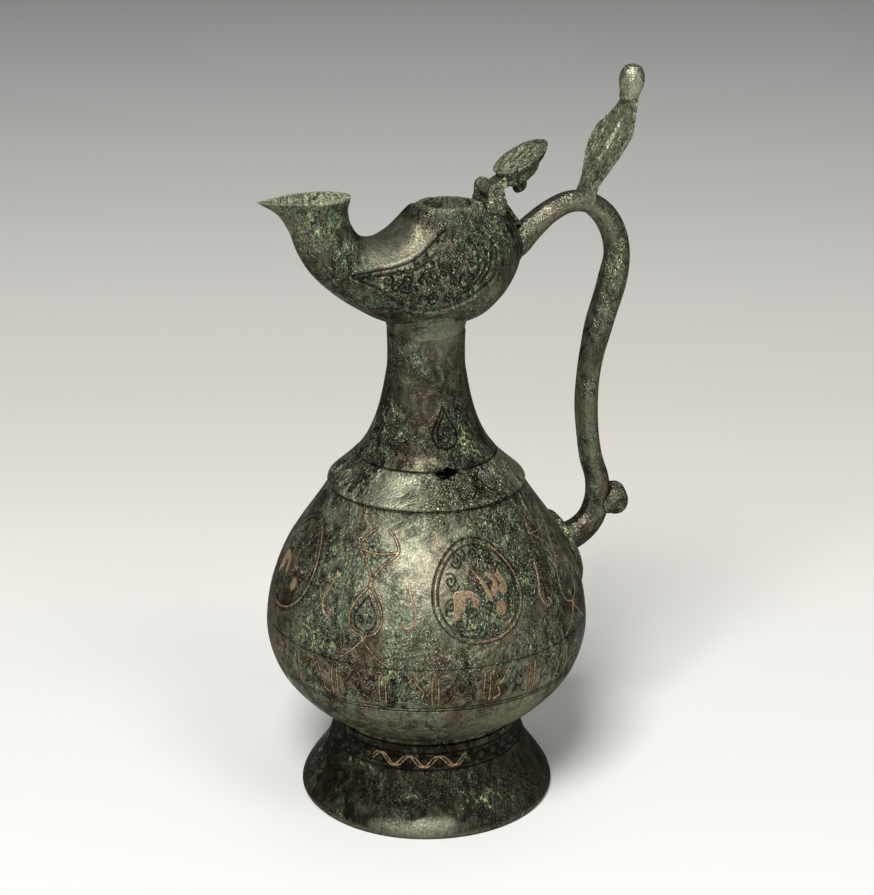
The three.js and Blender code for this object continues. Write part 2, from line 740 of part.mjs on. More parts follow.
const ewer = new THREE.Group()
ewer.add(makeFoot(), makeBase(), makeBody(), makeCollar(), makeNeck(), makeHead())
ewer.add(makeBracket(), makePin(), makeHandle(), makePad(), makeKnop(), makeLeaf(), makeBud())
inlays.forEach(inlay => ewer.add(makeInlay(inlay)))

const lid = new THREE.Group()
lid.add(makeLid(), makeKnob())
lid.position.set(hingeX, 0, hingeZ)
lid.rotation.y = lidOpenAngle
ewer.add(lid)

// The whole stands centred over the origin
ewer.updateMatrixWorld(true)
const reach = new THREE.Box3().setFromObject(ewer, true)
const centre = reach.getCenter(new THREE.Vector3())
ewer.position.set(-centre.x, -centre.y, -reach.min.z)

export default ewer
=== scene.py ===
"""Cast bronze ewer with copper inlay, dressed with fine surfaces, ornament and patina. Metres, +Z up."""

import math
import random

import bmesh
import bpy
import numpy as np
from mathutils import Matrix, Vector, kdtree, noise


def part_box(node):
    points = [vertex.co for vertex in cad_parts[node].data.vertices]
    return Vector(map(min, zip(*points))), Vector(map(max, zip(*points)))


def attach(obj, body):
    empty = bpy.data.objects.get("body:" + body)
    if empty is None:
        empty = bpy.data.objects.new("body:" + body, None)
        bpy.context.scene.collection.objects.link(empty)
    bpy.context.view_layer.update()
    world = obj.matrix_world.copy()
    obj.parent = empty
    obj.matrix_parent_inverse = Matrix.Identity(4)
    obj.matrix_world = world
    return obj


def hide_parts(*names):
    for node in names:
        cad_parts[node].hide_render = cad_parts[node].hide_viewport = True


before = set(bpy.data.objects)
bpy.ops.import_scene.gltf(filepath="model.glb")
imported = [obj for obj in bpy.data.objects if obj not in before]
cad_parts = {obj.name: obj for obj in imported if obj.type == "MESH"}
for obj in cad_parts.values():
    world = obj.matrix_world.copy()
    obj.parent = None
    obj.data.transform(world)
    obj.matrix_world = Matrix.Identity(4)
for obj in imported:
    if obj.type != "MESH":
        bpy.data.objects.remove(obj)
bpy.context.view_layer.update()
MM = 0.001

# Where the camera stood: distance from the body's axis, height, turn round the ewer and tilt
camera_distance = 0.75455
camera_height = 0.416
camera_turn = math.radians(-22.0)
camera_yaw = math.radians(-0.33)
camera_tilt = math.radians(70.5)
camera_lens = 82.05
camera_sensor = 36.0

# Sizes read from the frame
foot_low, foot_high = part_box("foot_ring")
body_low, body_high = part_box("body_shell")
collar_low, collar_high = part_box("shoulder_collar")
neck_low, neck_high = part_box("neck")
axis_x = (body_low.x + body_high.x) / 2
body_radius = (body_high.y - body_low.y) / 2
foot_radius = (foot_high.y - foot_low.y) / 2

# Wall thicknesses and the other driving sizes of the real ewer
foot_wall = 2.4 * MM
body_wall = 2.0 * MM
neck_wall = 1.9 * MM
head_wall = 1.8 * MM
foot_lip = 0.6 * MM
collar_lip = 0.9 * MM
neck_foot_radius = 28.5 * MM
neck_radius = 15.4 * MM
head_length = 107.0 * MM
head_height = 54.6 * MM
head_half_width = 25.5 * MM
head_stub_height = 2.0 * MM
head_stub_overlap = 8.5 * MM
fill_radius = 9.8 * MM
fill_rim_width = 1.8 * MM
fill_rim_rise = 0.5 * MM
fill_rim_drop = 14.0 * MM
hinge_x = 26.5 * MM
lid_reach = 17.2 * MM
handle_reach = 84.0 * MM
handle_half_depth = 4.6 * MM
handle_half_width = 5.4 * MM
handle_foot_share = 0.65
crown_drop = 2.8 * MM
crown_place_share = 0.26
leaf_half_width = 11.8 * MM
leaf_thickness = 3.0 * MM
leaf_hollow = 2.0 * MM
leaf_lean = 19.5 * MM
leaf_length = 39.5 * MM
lid_open_angle = math.radians(150.7)

# Outlines as shares, from the bottom up; foot, collar and neck run from the narrow radius to the wide one
foot_shares = [
    (0.943, 0), (1, 0.05), (0.962, 0.12), (0.821, 0.22), (0.573, 0.36), (0.324, 0.5), (0.141, 0.66),
    (0.046, 0.8), (0.011, 0.92), (0, 1),
]
body_shares = [
    (0.582, 0), (0.665, 0.035), (0.747, 0.075), (0.812, 0.116), (0.877, 0.166), (0.929, 0.216),
    (0.968, 0.276), (0.992, 0.337), (1, 0.397), (0.994, 0.457), (0.98, 0.518), (0.957, 0.578),
    (0.924, 0.638), (0.885, 0.698), (0.836, 0.759), (0.778, 0.819), (0.713, 0.879), (0.649, 0.94),
    (0.592, 1),
]
collar_shares = [(1, 0), (0.992, 0.12), (0.72, 0.36), (0.34, 0.68), (0, 1)]
neck_shares = [
    (1, 0), (0.765, 0.08), (0.585, 0.16), (0.447, 0.24), (0.336, 0.32), (0.248, 0.4), (0.176, 0.48),
    (0.115, 0.56), (0.06, 0.64), (0.015, 0.72), (0, 0.82), (0, 0.9), (0.01, 1),
]

# Head stations from the mouth to the back, as shares of its length and height
head_top_share = 0.87
head_lower_shares = [
    (-0.63, 1), (-0.561, 0.9), (-0.52, 0.78), (-0.488, 0.62), (-0.439, 0.46), (-0.369, 0.32),
    (-0.28, 0.19), (-0.178, 0.075), (-0.065, 0.015), (0.056, 0), (0.168, 0.035), (0.258, 0.145),
    (0.321, 0.285), (0.358, 0.41),
]
head_upper_shares = [
    (-0.299, 1), (-0.302, 0.88), (-0.29, 0.79), (-0.254, 0.705), (-0.201, 0.677), (-0.148, 0.69),
    (-0.101, 0.75), (-0.047, 0.845), (0.019, 0.87), (0.093, 0.87), (0.178, 0.87), (0.252, 0.865),
    (0.308, 0.795), (0.346, 0.68),
]
head_width_shares = [
    (0.47, 1, 0), (0.443, 0.7, 0), (0.431, 0.4, 0), (0.478, 0.2, 0), (0.569, 0.1, 0), (0.686, 0, 0.1),
    (0.804, 0, 0.2), (0.91, 0, 0.35), (0.98, 0, 0.45), (1, 0, 0.45), (0.945, 0, 0.45), (0.77, 0, 0.4),
    (0.53, 0, 0.25), (0.28, 0, 0),
]
head_back_shares = (0.371, 0.53)
head_stub_shares = [(1, 0), (1.01, 0.2), (1.05, 0.4), (1.12, 0.65), (1.2, 1)]
fill_rim_shares = [(1.55, 0), (1.32, 0.4), (1.12, 0.75), (1.03, 0.93), (1, 1)]
head_back_ease = 6

# Handle centre line from the head round to the body, its girth and its six-sided section
handle_path_shares = [
    (-0.195, 0.872), (-0.043, 0.89), (0.118, 0.933), (0.308, 0.975), (0.498, 0.996), (0.687, 0.988),
    (0.833, 0.953), (0.939, 0.9), (0.981, 0.835), (0.939, 0.752), (0.814, 0.627), (0.721, 0.474),
    (0.721, 0.354), (0.773, 0.24), (0.848, 0.165), (0.856, 0.103), (0.791, 0.045), (0.659, 0.008),
    (0.4, -0.018),
]
handle_girth_shares = [
    (1.15, 1.02), (1.1, 1), (1.02, 0.96), (0.9, 0.94), (0.86, 0.94), (0.9, 0.94), (0.98, 0.96),
    (1.02, 1), (1.05, 1.02), (1.18, 1.1), (1.12, 1.06), (0.92, 0.98), (0.9, 0.96), (0.92, 0.98),
    (0.96, 1), (1.06, 1.02), (1.16, 1.06), (1.22, 1.12), (1.3, 1.2),
]
handle_section_shares = [
    (1, 0.42), (0.6, 0.8), (0.12, 1), (-0.12, 1), (-0.6, 0.8), (-1, 0.42), (-1, -0.42), (-0.6, -0.8),
    (-0.12, -1), (0.12, -1), (0.6, -0.8), (1, -0.42),
]

# Leaf stations: lean, rise, half width, thickness and hollow
leaf_shares = [
    (0.02, 0, 0.36, 2.1, 0), (0.13, 0.15, 0.38, 1.8, 0.1), (0.32, 0.31, 0.68, 1.2, 0.6),
    (0.54, 0.49, 0.95, 1, 1), (0.74, 0.65, 0.98, 0.95, 1), (0.9, 0.81, 0.72, 0.95, 0.7),
    (0.98, 0.94, 0.46, 1.2, 0.25), (1, 1, 0.38, 1.4, 0),
]


def curve_at(points, where, closed=False):
    """Smooth curve through points, read at where, each from 0 to 1."""
    p = np.array(points, float)
    if closed:
        p = np.vstack([p[-1:], p, p[:2]])
    else:
        p = np.vstack([2 * p[0] - p[1], p, 2 * p[-1] - p[-2]])
    spans = len(p) - 3
    at = np.clip(where, 0, 1) * spans
    first = np.minimum(at.astype(int), spans - 1)
    s = (at - first)[:, None]
    p0, p1, p2, p3 = [p[first + k] for k in range(4)]
    gaps = []
    for a, b in ((p0, p1), (p1, p2), (p2, p3)):
        gap = np.linalg.norm(b - a, axis=1, keepdims=True) ** 0.5
        gaps.append(np.where(gap < 1e-6, 1.0, gap))
    d0, d1, d2 = gaps
    t1 = ((p1 - p0) / d0 - (p2 - p0) / (d0 + d1) + (p2 - p1) / d1) * d1
    t2 = ((p2 - p1) / d1 - (p3 - p1) / (d1 + d2) + (p3 - p2) / d2) * d1
    return p1 + s * t1 + s ** 2 * (-3 * p1 + 3 * p2 - 2 * t1 - t2) + s ** 3 * (2 * p1 - 2 * p2 + t1 + t2)


def even_curve(points, count, closed=False):
    """The same curve read at even steps of its length."""
    fine = curve_at(points, np.linspace(0, 1, count * 8), closed)
    steps = np.linalg.norm(np.diff(fine, axis=0), axis=1)
    length = np.concatenate([[0], np.cumsum(steps)])
    wanted = np.linspace(0, length[-1], count)
    return np.stack([np.interp(wanted, length, column) for column in fine.T], 1)


def sideways(line):
    """Unit steps across a flat line, to its left."""
    along = np.gradient(line, axis=0)
    along /= np.linalg.norm(along, axis=1)[:, None]
    return np.stack([-along[:, 1], along[:, 0]], 1)


def inset(profile, wall):
    """The profile moved in by a wall, its ends kept at their heights."""
    moved = profile + sideways(profile) * wall
    moved[[0, -1], 1] = profile[[0, -1], 1]
    return moved


def round_turns(count):
    return np.arange(count) * 2 * math.pi / count


def turned(radius, turn, z, x=0.0):
    """Places at a radius and a turn round an upright axis at x."""
    return np.stack(np.broadcast_arrays(x + radius * np.cos(turn), radius * np.sin(turn), z), -1)


def new_object(name, data):
    made = bpy.data.objects.new(name, data)
    bpy.context.scene.collection.objects.link(made)
    return made


def mesh_object(name, vertices, faces):
    mesh = bpy.data.meshes.new(name)
    mesh.from_pydata([tuple(v) for v in vertices], [], faces)
    mesh.update()
    return new_object(name, mesh)


def shade_smooth(piece):
    piece.data.polygons.foreach_set("use_smooth", [True] * len(piece.data.polygons))
    piece.data.update()


def grid_faces(rows, cols, closed_rows=False):
    """Faces of a grid that closes round its columns, and round its rows where asked."""
    row, col = np.mgrid[:rows if closed_rows else rows - 1, :cols]
    above = (row + 1) % rows * cols
    right = (col + 1) % cols
    corners = (row * cols + col, row * cols + right, above + right, above + col)
    return np.stack(corners, -1).reshape(-1, 4).tolist()


def revolve(name, loop, cols):
    """Ring of revolution round the ewer's axis from a closed (radius, height) loop."""
    vertices = turned(loop[:, None, 0], round_turns(cols), loop[:, None, 1], axis_x)
    piece = mesh_object(name, vertices.reshape(-1, 3), grid_faces(len(loop), cols, True))
    shade_smooth(piece)
    return piece


def read_vertices(piece, what):
    flat = np.zeros(len(piece.data.vertices) * 3, np.float32)
    piece.data.vertices.foreach_get(what, flat)
    return flat.reshape(-1, 3).astype(float)


def positions(piece):
    return read_vertices(piece, "co")


def normals(piece):
    return read_vertices(piece, "normal")


def set_positions(piece, places):
    piece.data.vertices.foreach_set("co", np.asarray(places, np.float32).ravel())
    piece.data.update()


def set_value(piece, name, values):
    """Stores one number for each vertex, for the piece's material to read."""
    layer = piece.data.attributes.new(name, "FLOAT", "POINT")
    layer.data.foreach_set("value", np.asarray(values, np.float32))


def push(piece, amounts):
    """Moves each vertex out along its normal."""
    set_positions(piece, positions(piece) + normals(piece) * amounts[:, None])


def soft_noise(places, scale, shift=(0.0, 0.0, 0.0)):
    offset = Vector(shift)
    return np.array([noise.noise(Vector(place) * scale + offset) for place in places])


def uneven(piece, amount, scale, seed):
    """Moves the surface in and out by soft noise, as hand work leaves it."""
    push(piece, soft_noise(positions(piece), scale, (seed, -seed, seed)) * amount)


def ease(low, high, values):
    t = np.clip((values - low) / (high - low), 0, 1)
    return t * t * (3 - 2 * t)


def near(places, marks, limit):
    """Distance from each place to the nearest mark, no further than limit."""
    tree = kdtree.KDTree(len(marks))
    for i, mark in enumerate(marks):
        tree.insert(mark, i)
    tree.balance()
    low = np.min(marks, axis=0) - limit
    high = np.max(marks, axis=0) + limit
    inside = np.all((places >= low) & (places <= high), axis=1)
    found = np.full(len(places), limit)
    for i in np.nonzero(inside)[0]:
        found[i] = min(tree.find(places[i])[2], limit)
    return found


def ring_shape(shares, narrow, wide, low, high, rows):
    """Smooth (radius, height) outline from shares, and the function from height to radius on it."""
    profile = even_curve(np.array(shares) * (wide - narrow, high - low) + (narrow, low), rows)
    order = np.argsort(profile[:, 1])
    return profile, lambda z: np.interp(z, profile[order, 1], profile[order, 0])


# Node helpers for the materials

def new_material(name):
    material = bpy.data.materials.new(name)
    material.use_nodes = True
    material.node_tree.nodes.clear()
    return material, material.node_tree


def node(tree, kind, inputs, **settings):
    made = tree.nodes.new(kind)
    for key, value in settings.items():
        setattr(made, key, value)
    for key, value in inputs.items():
        socket = made.inputs[key]
        if isinstance(value, Field):
            value = value.socket
        if isinstance(value, bpy.types.NodeSocket):
            tree.links.new(value, socket)
        elif socket.type == "RGBA":
            socket.default_value = (*value, 1.0)
        else:
            socket.default_value = value
    return made


class Field:
    """A number that varies over a surface, made of shader nodes. It adds and multiplies like any number."""

    def __init__(self, tree, socket):
        self.tree = tree
        self.socket = socket

    def worked(self, operation, other=0.0):
        made = node(self.tree, "ShaderNodeMath", {0: self, 1: other}, operation=operation)
        return Field(self.tree, made.outputs[0])

    def __add__(self, other):
        return self.worked("ADD", other)

    def __mul__(self, other):
        return self.worked("MULTIPLY", other)

    def step(self, low, high, out_low=0.0, out_high=1.0):
        """Eases from out_low to out_high while the number goes from low to high."""
        inputs = {"Value": self, "From Min": low, "From Max": high, "To Min": out_low, "To Max": out_high}
        made = node(self.tree, "ShaderNodeMapRange", inputs, interpolation_type="SMOOTHSTEP")
        return Field(self.tree, made.outputs["Result"])


def object_places(tree):
    return node(tree, "ShaderNodeTexCoord", {}).outputs["Object"]


def value_noise(tree, where, scale, detail, rough, distortion=0.0):
    inputs = {"Vector": where, "Scale": scale, "Detail": detail, "Roughness": rough}
    inputs["Distortion"] = distortion
    return Field(tree, node(tree, "ShaderNodeTexNoise", inputs).outputs["Fac"])


def stored_value(tree, name):
    return Field(tree, node(tree, "ShaderNodeAttribute", {}, attribute_name=name).outputs["Fac"])


def blend(share, under, over):
    """A colour that goes from under to over as the share grows from 0 to 1."""
    return node(share.tree, "ShaderNodeMix", {0: share, 6: under, 7: over}, data_type="RGBA").outputs[2]


def finish_shader(tree, surface, kind="ShaderNodeOutputMaterial"):
    node(tree, kind, {"Surface": surface.outputs[0]})


# Patina colours, and near black for the painted shade in the ragged hole, as linear light
bronze_dark = (0.024, 0.022, 0.015)
bronze_mid = (0.205, 0.202, 0.140)
brown_warm = (0.070, 0.048, 0.026)
metal_worn = (0.350, 0.340, 0.242)
metal_bright = (0.860, 0.840, 0.640)
pit_dark = (0.004, 0.004, 0.003)
green_dark = (0.010, 0.022, 0.012)
green_mid = (0.048, 0.092, 0.052)
green_bright = (0.200, 0.320, 0.175)
crust_pale = (0.600, 0.600, 0.290)
copper_tone = (0.400, 0.290, 0.170)
copper_dull = (0.120, 0.078, 0.045)
groove_dark = (0.008, 0.008, 0.006)
hole_shade_black = (0.0005, 0.0005, 0.0005)
bloom_pale = (0.460, 0.485, 0.320)
bloom_dull = (0.110, 0.125, 0.075)

# How near to a cut line its groove starts and ends, and the same for a wire and the ditch beside it
groove_span = (0.08 * MM, 0.55 * MM)
# How deep inside the ragged hole its painted shade starts and ends
hole_shade_span = (-0.10 * MM, -0.40 * MM)
wire_span = (0.44 * MM, 0.28 * MM)
ditch_outer_span = (0.74 * MM, 0.50 * MM)
ditch_inner_span = (0.28 * MM, 0.44 * MM)


# Base tone scaled by a piece's light factor: partly the piece's own tone, partly painted light, lighter on
# pieces that face the lamps and darker on pieces turned away
def tone_and_painted_light(colour, light):
    return tuple(level * light for level in colour)


def bronze(name, piece, green=0.5, crust=0.5, worn=0.3, rough=0.33, light=1.0, polish=0.7, ink=0.92,
           sparkle=1.0, depth=0.95):
    """Dark bronze with brown and green patina, flaking crust, pale specks and pits.

    Numbers stored on the piece say where it is cut, inlaid, crusted, worn or dulled by a pale bloom, and
    where a hole's shade is painted black.
    """
    material, tree = new_material(name)
    stored = piece.data.attributes.keys()
    where = object_places(tree)
    stretched = {"Vector": where, "Rotation": (0.3, 0.6, 0.4), "Scale": (1.25, 1.0, 0.7)}
    grown = node(tree, "ShaderNodeMapping", stretched).outputs[0]

    # Layers of noise, from broad drifts down to fine grain
    broad = value_noise(tree, where, 17.0, 3.0, 0.5)
    cloud = value_noise(tree, where, 62.0, 5.0, 0.62, 0.5)
    hue = value_noise(tree, grown, 45.0, 4.0, 0.6, 0.6)
    blotch = value_noise(tree, grown, 190.0, 4.0, 0.62, 0.8)
    flake = value_noise(tree, grown, 430.0, 2.0, 0.60, 1.2)
    speck = value_noise(tree, grown, 860.0, 1.5, 0.60, 0.6)
    grain = value_noise(tree, where, 1000.0, 1.5, 0.65, 0.6)
    fine = value_noise(tree, where, 2100.0, 0.5, 0.6)

    # Where the crust stands, and its crests, pits and cracks
    worn_share = broad.step(0.44, 0.60) * worn
    if "worn" in stored:
        worn_share = worn_share.worked("MAXIMUM", stored_value(tree, "worn"))
    if "crusted" in stored:
        spots = stored_value(tree, "crusted")
        cloud = cloud + spots * 0.22
        worn_share = worn_share.worked("MAXIMUM", spots.step(-0.20, -0.90) * polish)
    crusty = cloud.step(0.46 - 0.2 * crust, 0.74 - 0.2 * crust)
    relief = flake * 0.50 + grain * 0.50
    fold = (flake + -0.5).worked("ABSOLUTE")
    crevice = fold.step(0.030, 0.004) * (crusty * 0.50 + 0.08)
    pitted = relief.step(0.52, 0.40) * (crusty * 0.50 + 0.10)
    scattered = (blotch * 0.50 + hue * 0.50).step(0.53, 0.62)
    pale = relief.step(0.50, 0.60) * scattered * (crusty * 0.72 + 0.04)
    glint = fine.step(0.57, 0.72) * (crusty * (0.40 * sparkle) + 0.10 * sparkle)

    # Colours laid over one another: bronze, brown, worn metal, green, pits, pale crust and bright grains
    tone = broad * 0.4 + blotch * 0.6
    # The piece's light factor scales these tones: partly its own tone, partly painted light
    colour = blend(tone.step(0.40, 0.60), tone_and_painted_light(bronze_dark, light), tone_and_painted_light(bronze_mid, light))
    colour = blend(hue.step(0.56, 0.44) * 0.45, colour, tone_and_painted_light(brown_warm, light))
    colour = blend(worn_share * relief.step(0.38, 0.52, 0.55, 1.0), colour, metal_worn)
    green_field = (blotch + hue) * 0.40 + cloud * 0.20
    green_share = green_field.step(0.58 - 0.16 * green, 0.70 - 0.16 * green, 0.0, 0.88)
    green_tone = blend(relief.step(0.42, 0.56), green_dark, green_mid)
    green_tone = blend(speck.step(0.58, 0.70), green_tone, green_bright)
    colour = blend(green_share, colour, green_tone)
    colour = blend(pitted, colour, pit_dark)
    colour = blend(crevice * 0.85, colour, pit_dark)
    colour = blend(pale, colour, crust_pale)
    colour = blend(glint, colour, metal_bright)
    metallic = green_share * -0.40 + 0.85 + pale * -0.40
    height = flake * (crusty * 1.20 + 0.12) + grain * (crusty * 0.50 + 0.28)
    height = height + fine * (crusty * 0.06 + 0.06) + blotch * (crusty * 0.90 + 0.10)
    height = height + crevice * -0.20

    # Cut lines, painted shade in the ragged hole, pale bloom and copper wires
    if "cut" in stored:
        found = stored_value(tree, "cut")
        shore = found.step(*groove_span)
        height = height + shore * 0.60
        colour = blend((shore * -1.0 + 1.0) * speck.step(0.66, 0.46, ink / 2, ink), colour, groove_dark)
        # Painted shade: inside the ragged hole the colour is near black and fully metallic, for the darkness
        # within it
        hole = found.step(*hole_shade_span)
        colour = blend(hole, colour, hole_shade_black)
        metallic = metallic.worked("MAXIMUM", hole)
    if "bloom" in stored:
        matt = stored_value(tree, "bloom") * relief.step(0.38, 0.50, 0.35, 1.0)
        colour = blend(matt, colour, blend(speck.step(0.40, 0.60), bloom_dull, bloom_pale))
        metallic = metallic + matt * -0.75
    if "wire" in stored:
        found = stored_value(tree, "wire")
        shown = found.step(*wire_span)
        ditch = found.step(*ditch_outer_span) * found.step(*ditch_inner_span)
        height = height + shown * 0.18 + ditch * -0.22
        shown = shown * (speck * 0.5 + blotch * 0.5).step(0.68, 0.56, 0.55, 1.0)
        colour = blend(ditch * 0.7, colour, groove_dark)
        colour = blend(shown, colour, blend(grain.step(0.36, 0.60), copper_dull, copper_tone))
        metallic = metallic + shown * -0.35
    bump = node(tree, "ShaderNodeBump", {"Height": height, "Strength": 1.0, "Distance": depth * MM})
    finish_shader(tree, node(tree, "ShaderNodeBsdfPrincipled", {
        "Base Color": colour, "Metallic": metallic, "Roughness": crusty * -0.16 + (rough + 0.10),
        "IOR": 1.60, "Specular Tint": (0.12, 0.118, 0.095), "Normal": bump.outputs["Normal"],
    }))
    return material


def set_material(piece, material):
    if piece.data.materials:
        for i in range(len(piece.data.materials)):
            piece.data.materials[i] = material
    else:
        piece.data.materials.append(material)


def dress(piece, source, material, body="ewer"):
    """Gives a piece its material and body, and lets it stand for a CAD node."""
    set_material(piece, material)
    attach(piece, body)
    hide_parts(source)


# Ornament: strokes as (degrees from a motif's middle, height in mm), one set for each quarter

medallion_angle = -91.0
quarter = 90.0
line_reach = 2.0 * MM
degrees_per_mm = 0.92


def swung(middle, size, angle, squeeze):
    """A point at a distance and angle in degrees from a middle; squeeze turns mm across into degrees."""
    turn = math.radians(angle)
    return (middle[0] + size * math.cos(turn) * squeeze, middle[1] + size * math.sin(turn))


def volute(middle, size, start, turns, squeeze=1.0, steps=14):
    """Spiral that tightens to its middle."""
    shares = np.linspace(0, 1, steps + 1)
    return [swung(middle, size * (1 - s * 0.82), start + 360 * turns * s, squeeze) for s in shares]


def mirrored(strokes, middle):
    """Strokes drawn to the left and to the right of a middle."""
    return [[(middle + side * x, z) for x, z in stroke] for side in (-1, 1) for stroke in strokes]


def ring_line(ends, middle, half=60.0):
    """Line round the ewer, at one height at its ends and another at its middle."""
    return [(-half, ends), (0.0, middle), (half, ends)]


def stroke_marks(strokes, surface_radius, spacing=0.15 * MM):
    """Points along each smooth stroke, on a surface of revolution."""
    marks = []
    for stroke in strokes:
        middle_radius = float(surface_radius(stroke[0][1] * MM))
        rough = np.array([(math.radians(a) * middle_radius, z * MM) for a, z in stroke])
        length = np.linalg.norm(np.diff(rough, axis=0), axis=1).sum()
        fine = even_curve(rough, max(4, int(length / spacing)))
        marks.append(turned(surface_radius(fine[:, 1]), fine[:, 0] / middle_radius, fine[:, 1]))
    return np.concatenate(marks)


def folded(places):
    """Places about the ewer's axis turned into the quarter of the front medallion, angle 0 at its middle."""
    x = places[:, 0] - axis_x
    y = places[:, 1]
    angle = np.degrees(np.arctan2(y, x)) - medallion_angle
    angle = (angle + quarter / 2) % quarter - quarter / 2
    return turned(np.hypot(x, y), np.radians(angle), places[:, 2])


def line_distance(piece, strokes, surface):
    """Distance from each vertex to the nearest stroke, repeated every quarter turn."""
    return near(folded(positions(piece)), stroke_marks(strokes, surface), line_reach)


def surface_place(angle, height, surface):
    """The place on a surface of revolution at an angle in degrees and a height in mm."""
    return turned(float(surface(height * MM)), math.radians(angle), height * MM, axis_x)


def soft_spots(places, spots):
    """Sum of soft spots, each a middle, a size in mm and a weight."""
    found = np.zeros(len(places))
    for middle, size, weight in spots:
        found += weight * np.exp(-(np.linalg.norm(places - middle, axis=1) / (size * MM)) ** 2)
    return np.clip(found, -1.2, 1.2)


# Medallion: a double ring, and foliage of volutes and leaf cuts round the beast
medallion_height = 108.4
medallion_half_angle = 18.8
medallion_half_height = 18.4
ring_gap = 1.1
volute_places = [
    (-8.2, 11.8, 3.0, 200, 1.5), (-12.2, 5.0, 2.7, 120, -1.4), (-12.6, -3.4, 2.4, 60, 1.4),
    (-9.4, -10.4, 2.6, 20, -1.5), (-2.8, -13.2, 2.3, 150, 1.3), (4.0, -12.8, 2.4, 20, -1.4),
    (10.0, -8.6, 2.4, 240, 1.4), (12.8, -1.0, 2.2, 300, -1.3), (12.4, 6.4, 2.3, 30, 1.3),
    (7.6, 11.8, 2.8, 330, -1.5), (0.4, 13.4, 2.4, 180, 1.4), (-1.8, 7.4, 1.9, 60, -1.2),
    (-5.4, -5.6, 1.8, 100, 1.2), (3.2, -6.6, 1.9, 260, -1.2),
]
# The leaf cut that leaves each volute: degrees past its start, and share of its size
leaf_cut = [(150.0, 1.1), (178.65, 1.6), (213.03, 1.5)]


def medallion_ring(inwards, count=40, start=0.0, end=360.0):
    """Part of the oval round the medallion, drawn in from its edge."""
    wide = medallion_half_angle - inwards
    tall = medallion_half_height - inwards
    turns = np.radians(np.linspace(start, end, count))
    return [(wide * math.cos(t), medallion_height + tall * math.sin(t)) for t in turns]


cut_strokes = [medallion_ring(0), medallion_ring(2 * ring_gap)]
for across, up, size, start, turns in volute_places:
    middle = (across * degrees_per_mm, medallion_height + up)
    cut_strokes.append(volute(middle, size, start, turns, degrees_per_mm))
    cut_strokes.append([swung(middle, size * far, start + bend, degrees_per_mm) for bend, far in leaf_cut])
wire_strokes = [medallion_ring(ring_gap, 40, -100.0, 62.0), medallion_ring(ring_gap, 20, 120.0, 190.0)]

# Teardrop between two medallions, with crossed tendrils above and below it
tear_middle = -43.7
tear_wires = [
    [(0, 111.0), (2.9, 107.6), (5.4, 103.5), (6.4, 99.0), (4.6, 94.6), (0, 92.6)],
    [(-0.6, 111.0), (1.2, 114.6), (4.6, 118.6), (9.8, 122.6), (8.2, 126.0), (3.6, 129.4)],
    [(-0.8, 92.4), (2.6, 88.2), (5.8, 84.8), (9.8, 82.0)],
]
tear_bar = [(-11.2, 122.2), (0, 121.4), (9.6, 122.4)]
tear_cuts = [
    [(0, 107.4), (2.6, 103.6), (4.3, 99.6), (3.2, 95.9), (0, 94.6)],
    volute((1.9, 98.6), 1.7, 30, 1.3, degrees_per_mm),
]
for middle in (tear_middle, tear_middle + quarter):
    wire_strokes += mirrored(tear_wires, middle)
    wire_strokes.append([(middle + across, up) for across, up in tear_bar])
    cut_strokes += mirrored(tear_cuts, middle)

# Ornamental band between border lines: upright pairs, waves and buds
band_low = 63.7
band_high = 81.0
band_middle = (band_low + band_high) / 2
band_cells = 5
figure_low = band_low + 2.4
figure_high = band_high - 2.4
bud_height = figure_high - 2.4
band_post = [(1.0, figure_low), (1.15, band_middle), (0.9, figure_high)]
band_wave = [
    (2.6, figure_low + 0.2), (4.8, figure_low + 2.0), (4.0, band_middle), (6.0, band_middle + 2.6),
    (7.6, figure_high - 0.4), (8.9, figure_high - 2.4),
]
band_cuts = [
    volute((6.9, figure_low + 2.6), 1.9, 160, -1.2, degrees_per_mm),
    [(8.9, figure_low + 5.0), (8.2, band_middle + 1.0), (8.9, band_middle + 2.6)],
]
for height in (band_low - 0.9, band_low + 0.5, band_high + 0.2):
    cut_strokes.append(ring_line(height, height, quarter * 0.55))
for cell in range(-1, band_cells + 1):
    middle = -quarter / 2 + (cell + 0.5) * quarter / band_cells
    wire_strokes += mirrored([band_post], middle)
    cut_strokes += mirrored(band_cuts, middle)
    for side, wave in zip((-1, 1), mirrored([band_wave], middle)):
        (wire_strokes if (cell + side) % 3 == 0 else cut_strokes).append(wave)
        cut_strokes.append(volute((middle + side * 3.4, bud_height), 1.5, 200, side * 1.1, degrees_per_mm))

# Where the body is crusted (above zero) or rubbed smooth (below zero): angle, height, size and weight
body_spots = [
    (-91, 108, 17, 0.9), (-68, 120, 17, 0.7), (-60, 96, 15, 0.5), (-134.7, 100, 7, 0.9),
    (-165, 108, 14, 0.6), (-160, 86, 11, 0.5), (-148, 122, 9, 0.5), (-127, 76, 9, 0.8), (-96, 80, 10, 0.4),
    (-70, 133, 12, 0.6), (-122, 118, 15, -0.5), (-107, 112, 17, -0.7), (-98, 50, 20, -0.5),
    (-135, 52, 20, -0.3), (-72, 54, 18, -0.8), (-40, 72, 16, 0.5), (-45, 105, 14, -0.4),
    (-140, 132, 9, -0.5), (0, 108, 16, 0.4),
    (90, 108, 17, 0.8), (45, 100, 20, -0.5), (130, 118, 18, 0.5), (150, 90, 15, -0.5), (70, 70, 18, 0.5),
    (110, 132, 14, 0.4), (10, 60, 18, -0.5), (180, 75, 14, 0.5), (30, 128, 14, 0.5),
]


# Body of revolution, foot, collar and neck

def profile_ring(name, profile, wall, cols, rows_inside):
    """A wall of revolution: the profile outside, and a coarser one inside."""
    inner = inset(profile, wall)
    coarse = inner[:: max(1, len(profile) // rows_inside)][::-1]
    return revolve(name, np.vstack([profile, inner[-1:], coarse, inner[:1]]), cols)


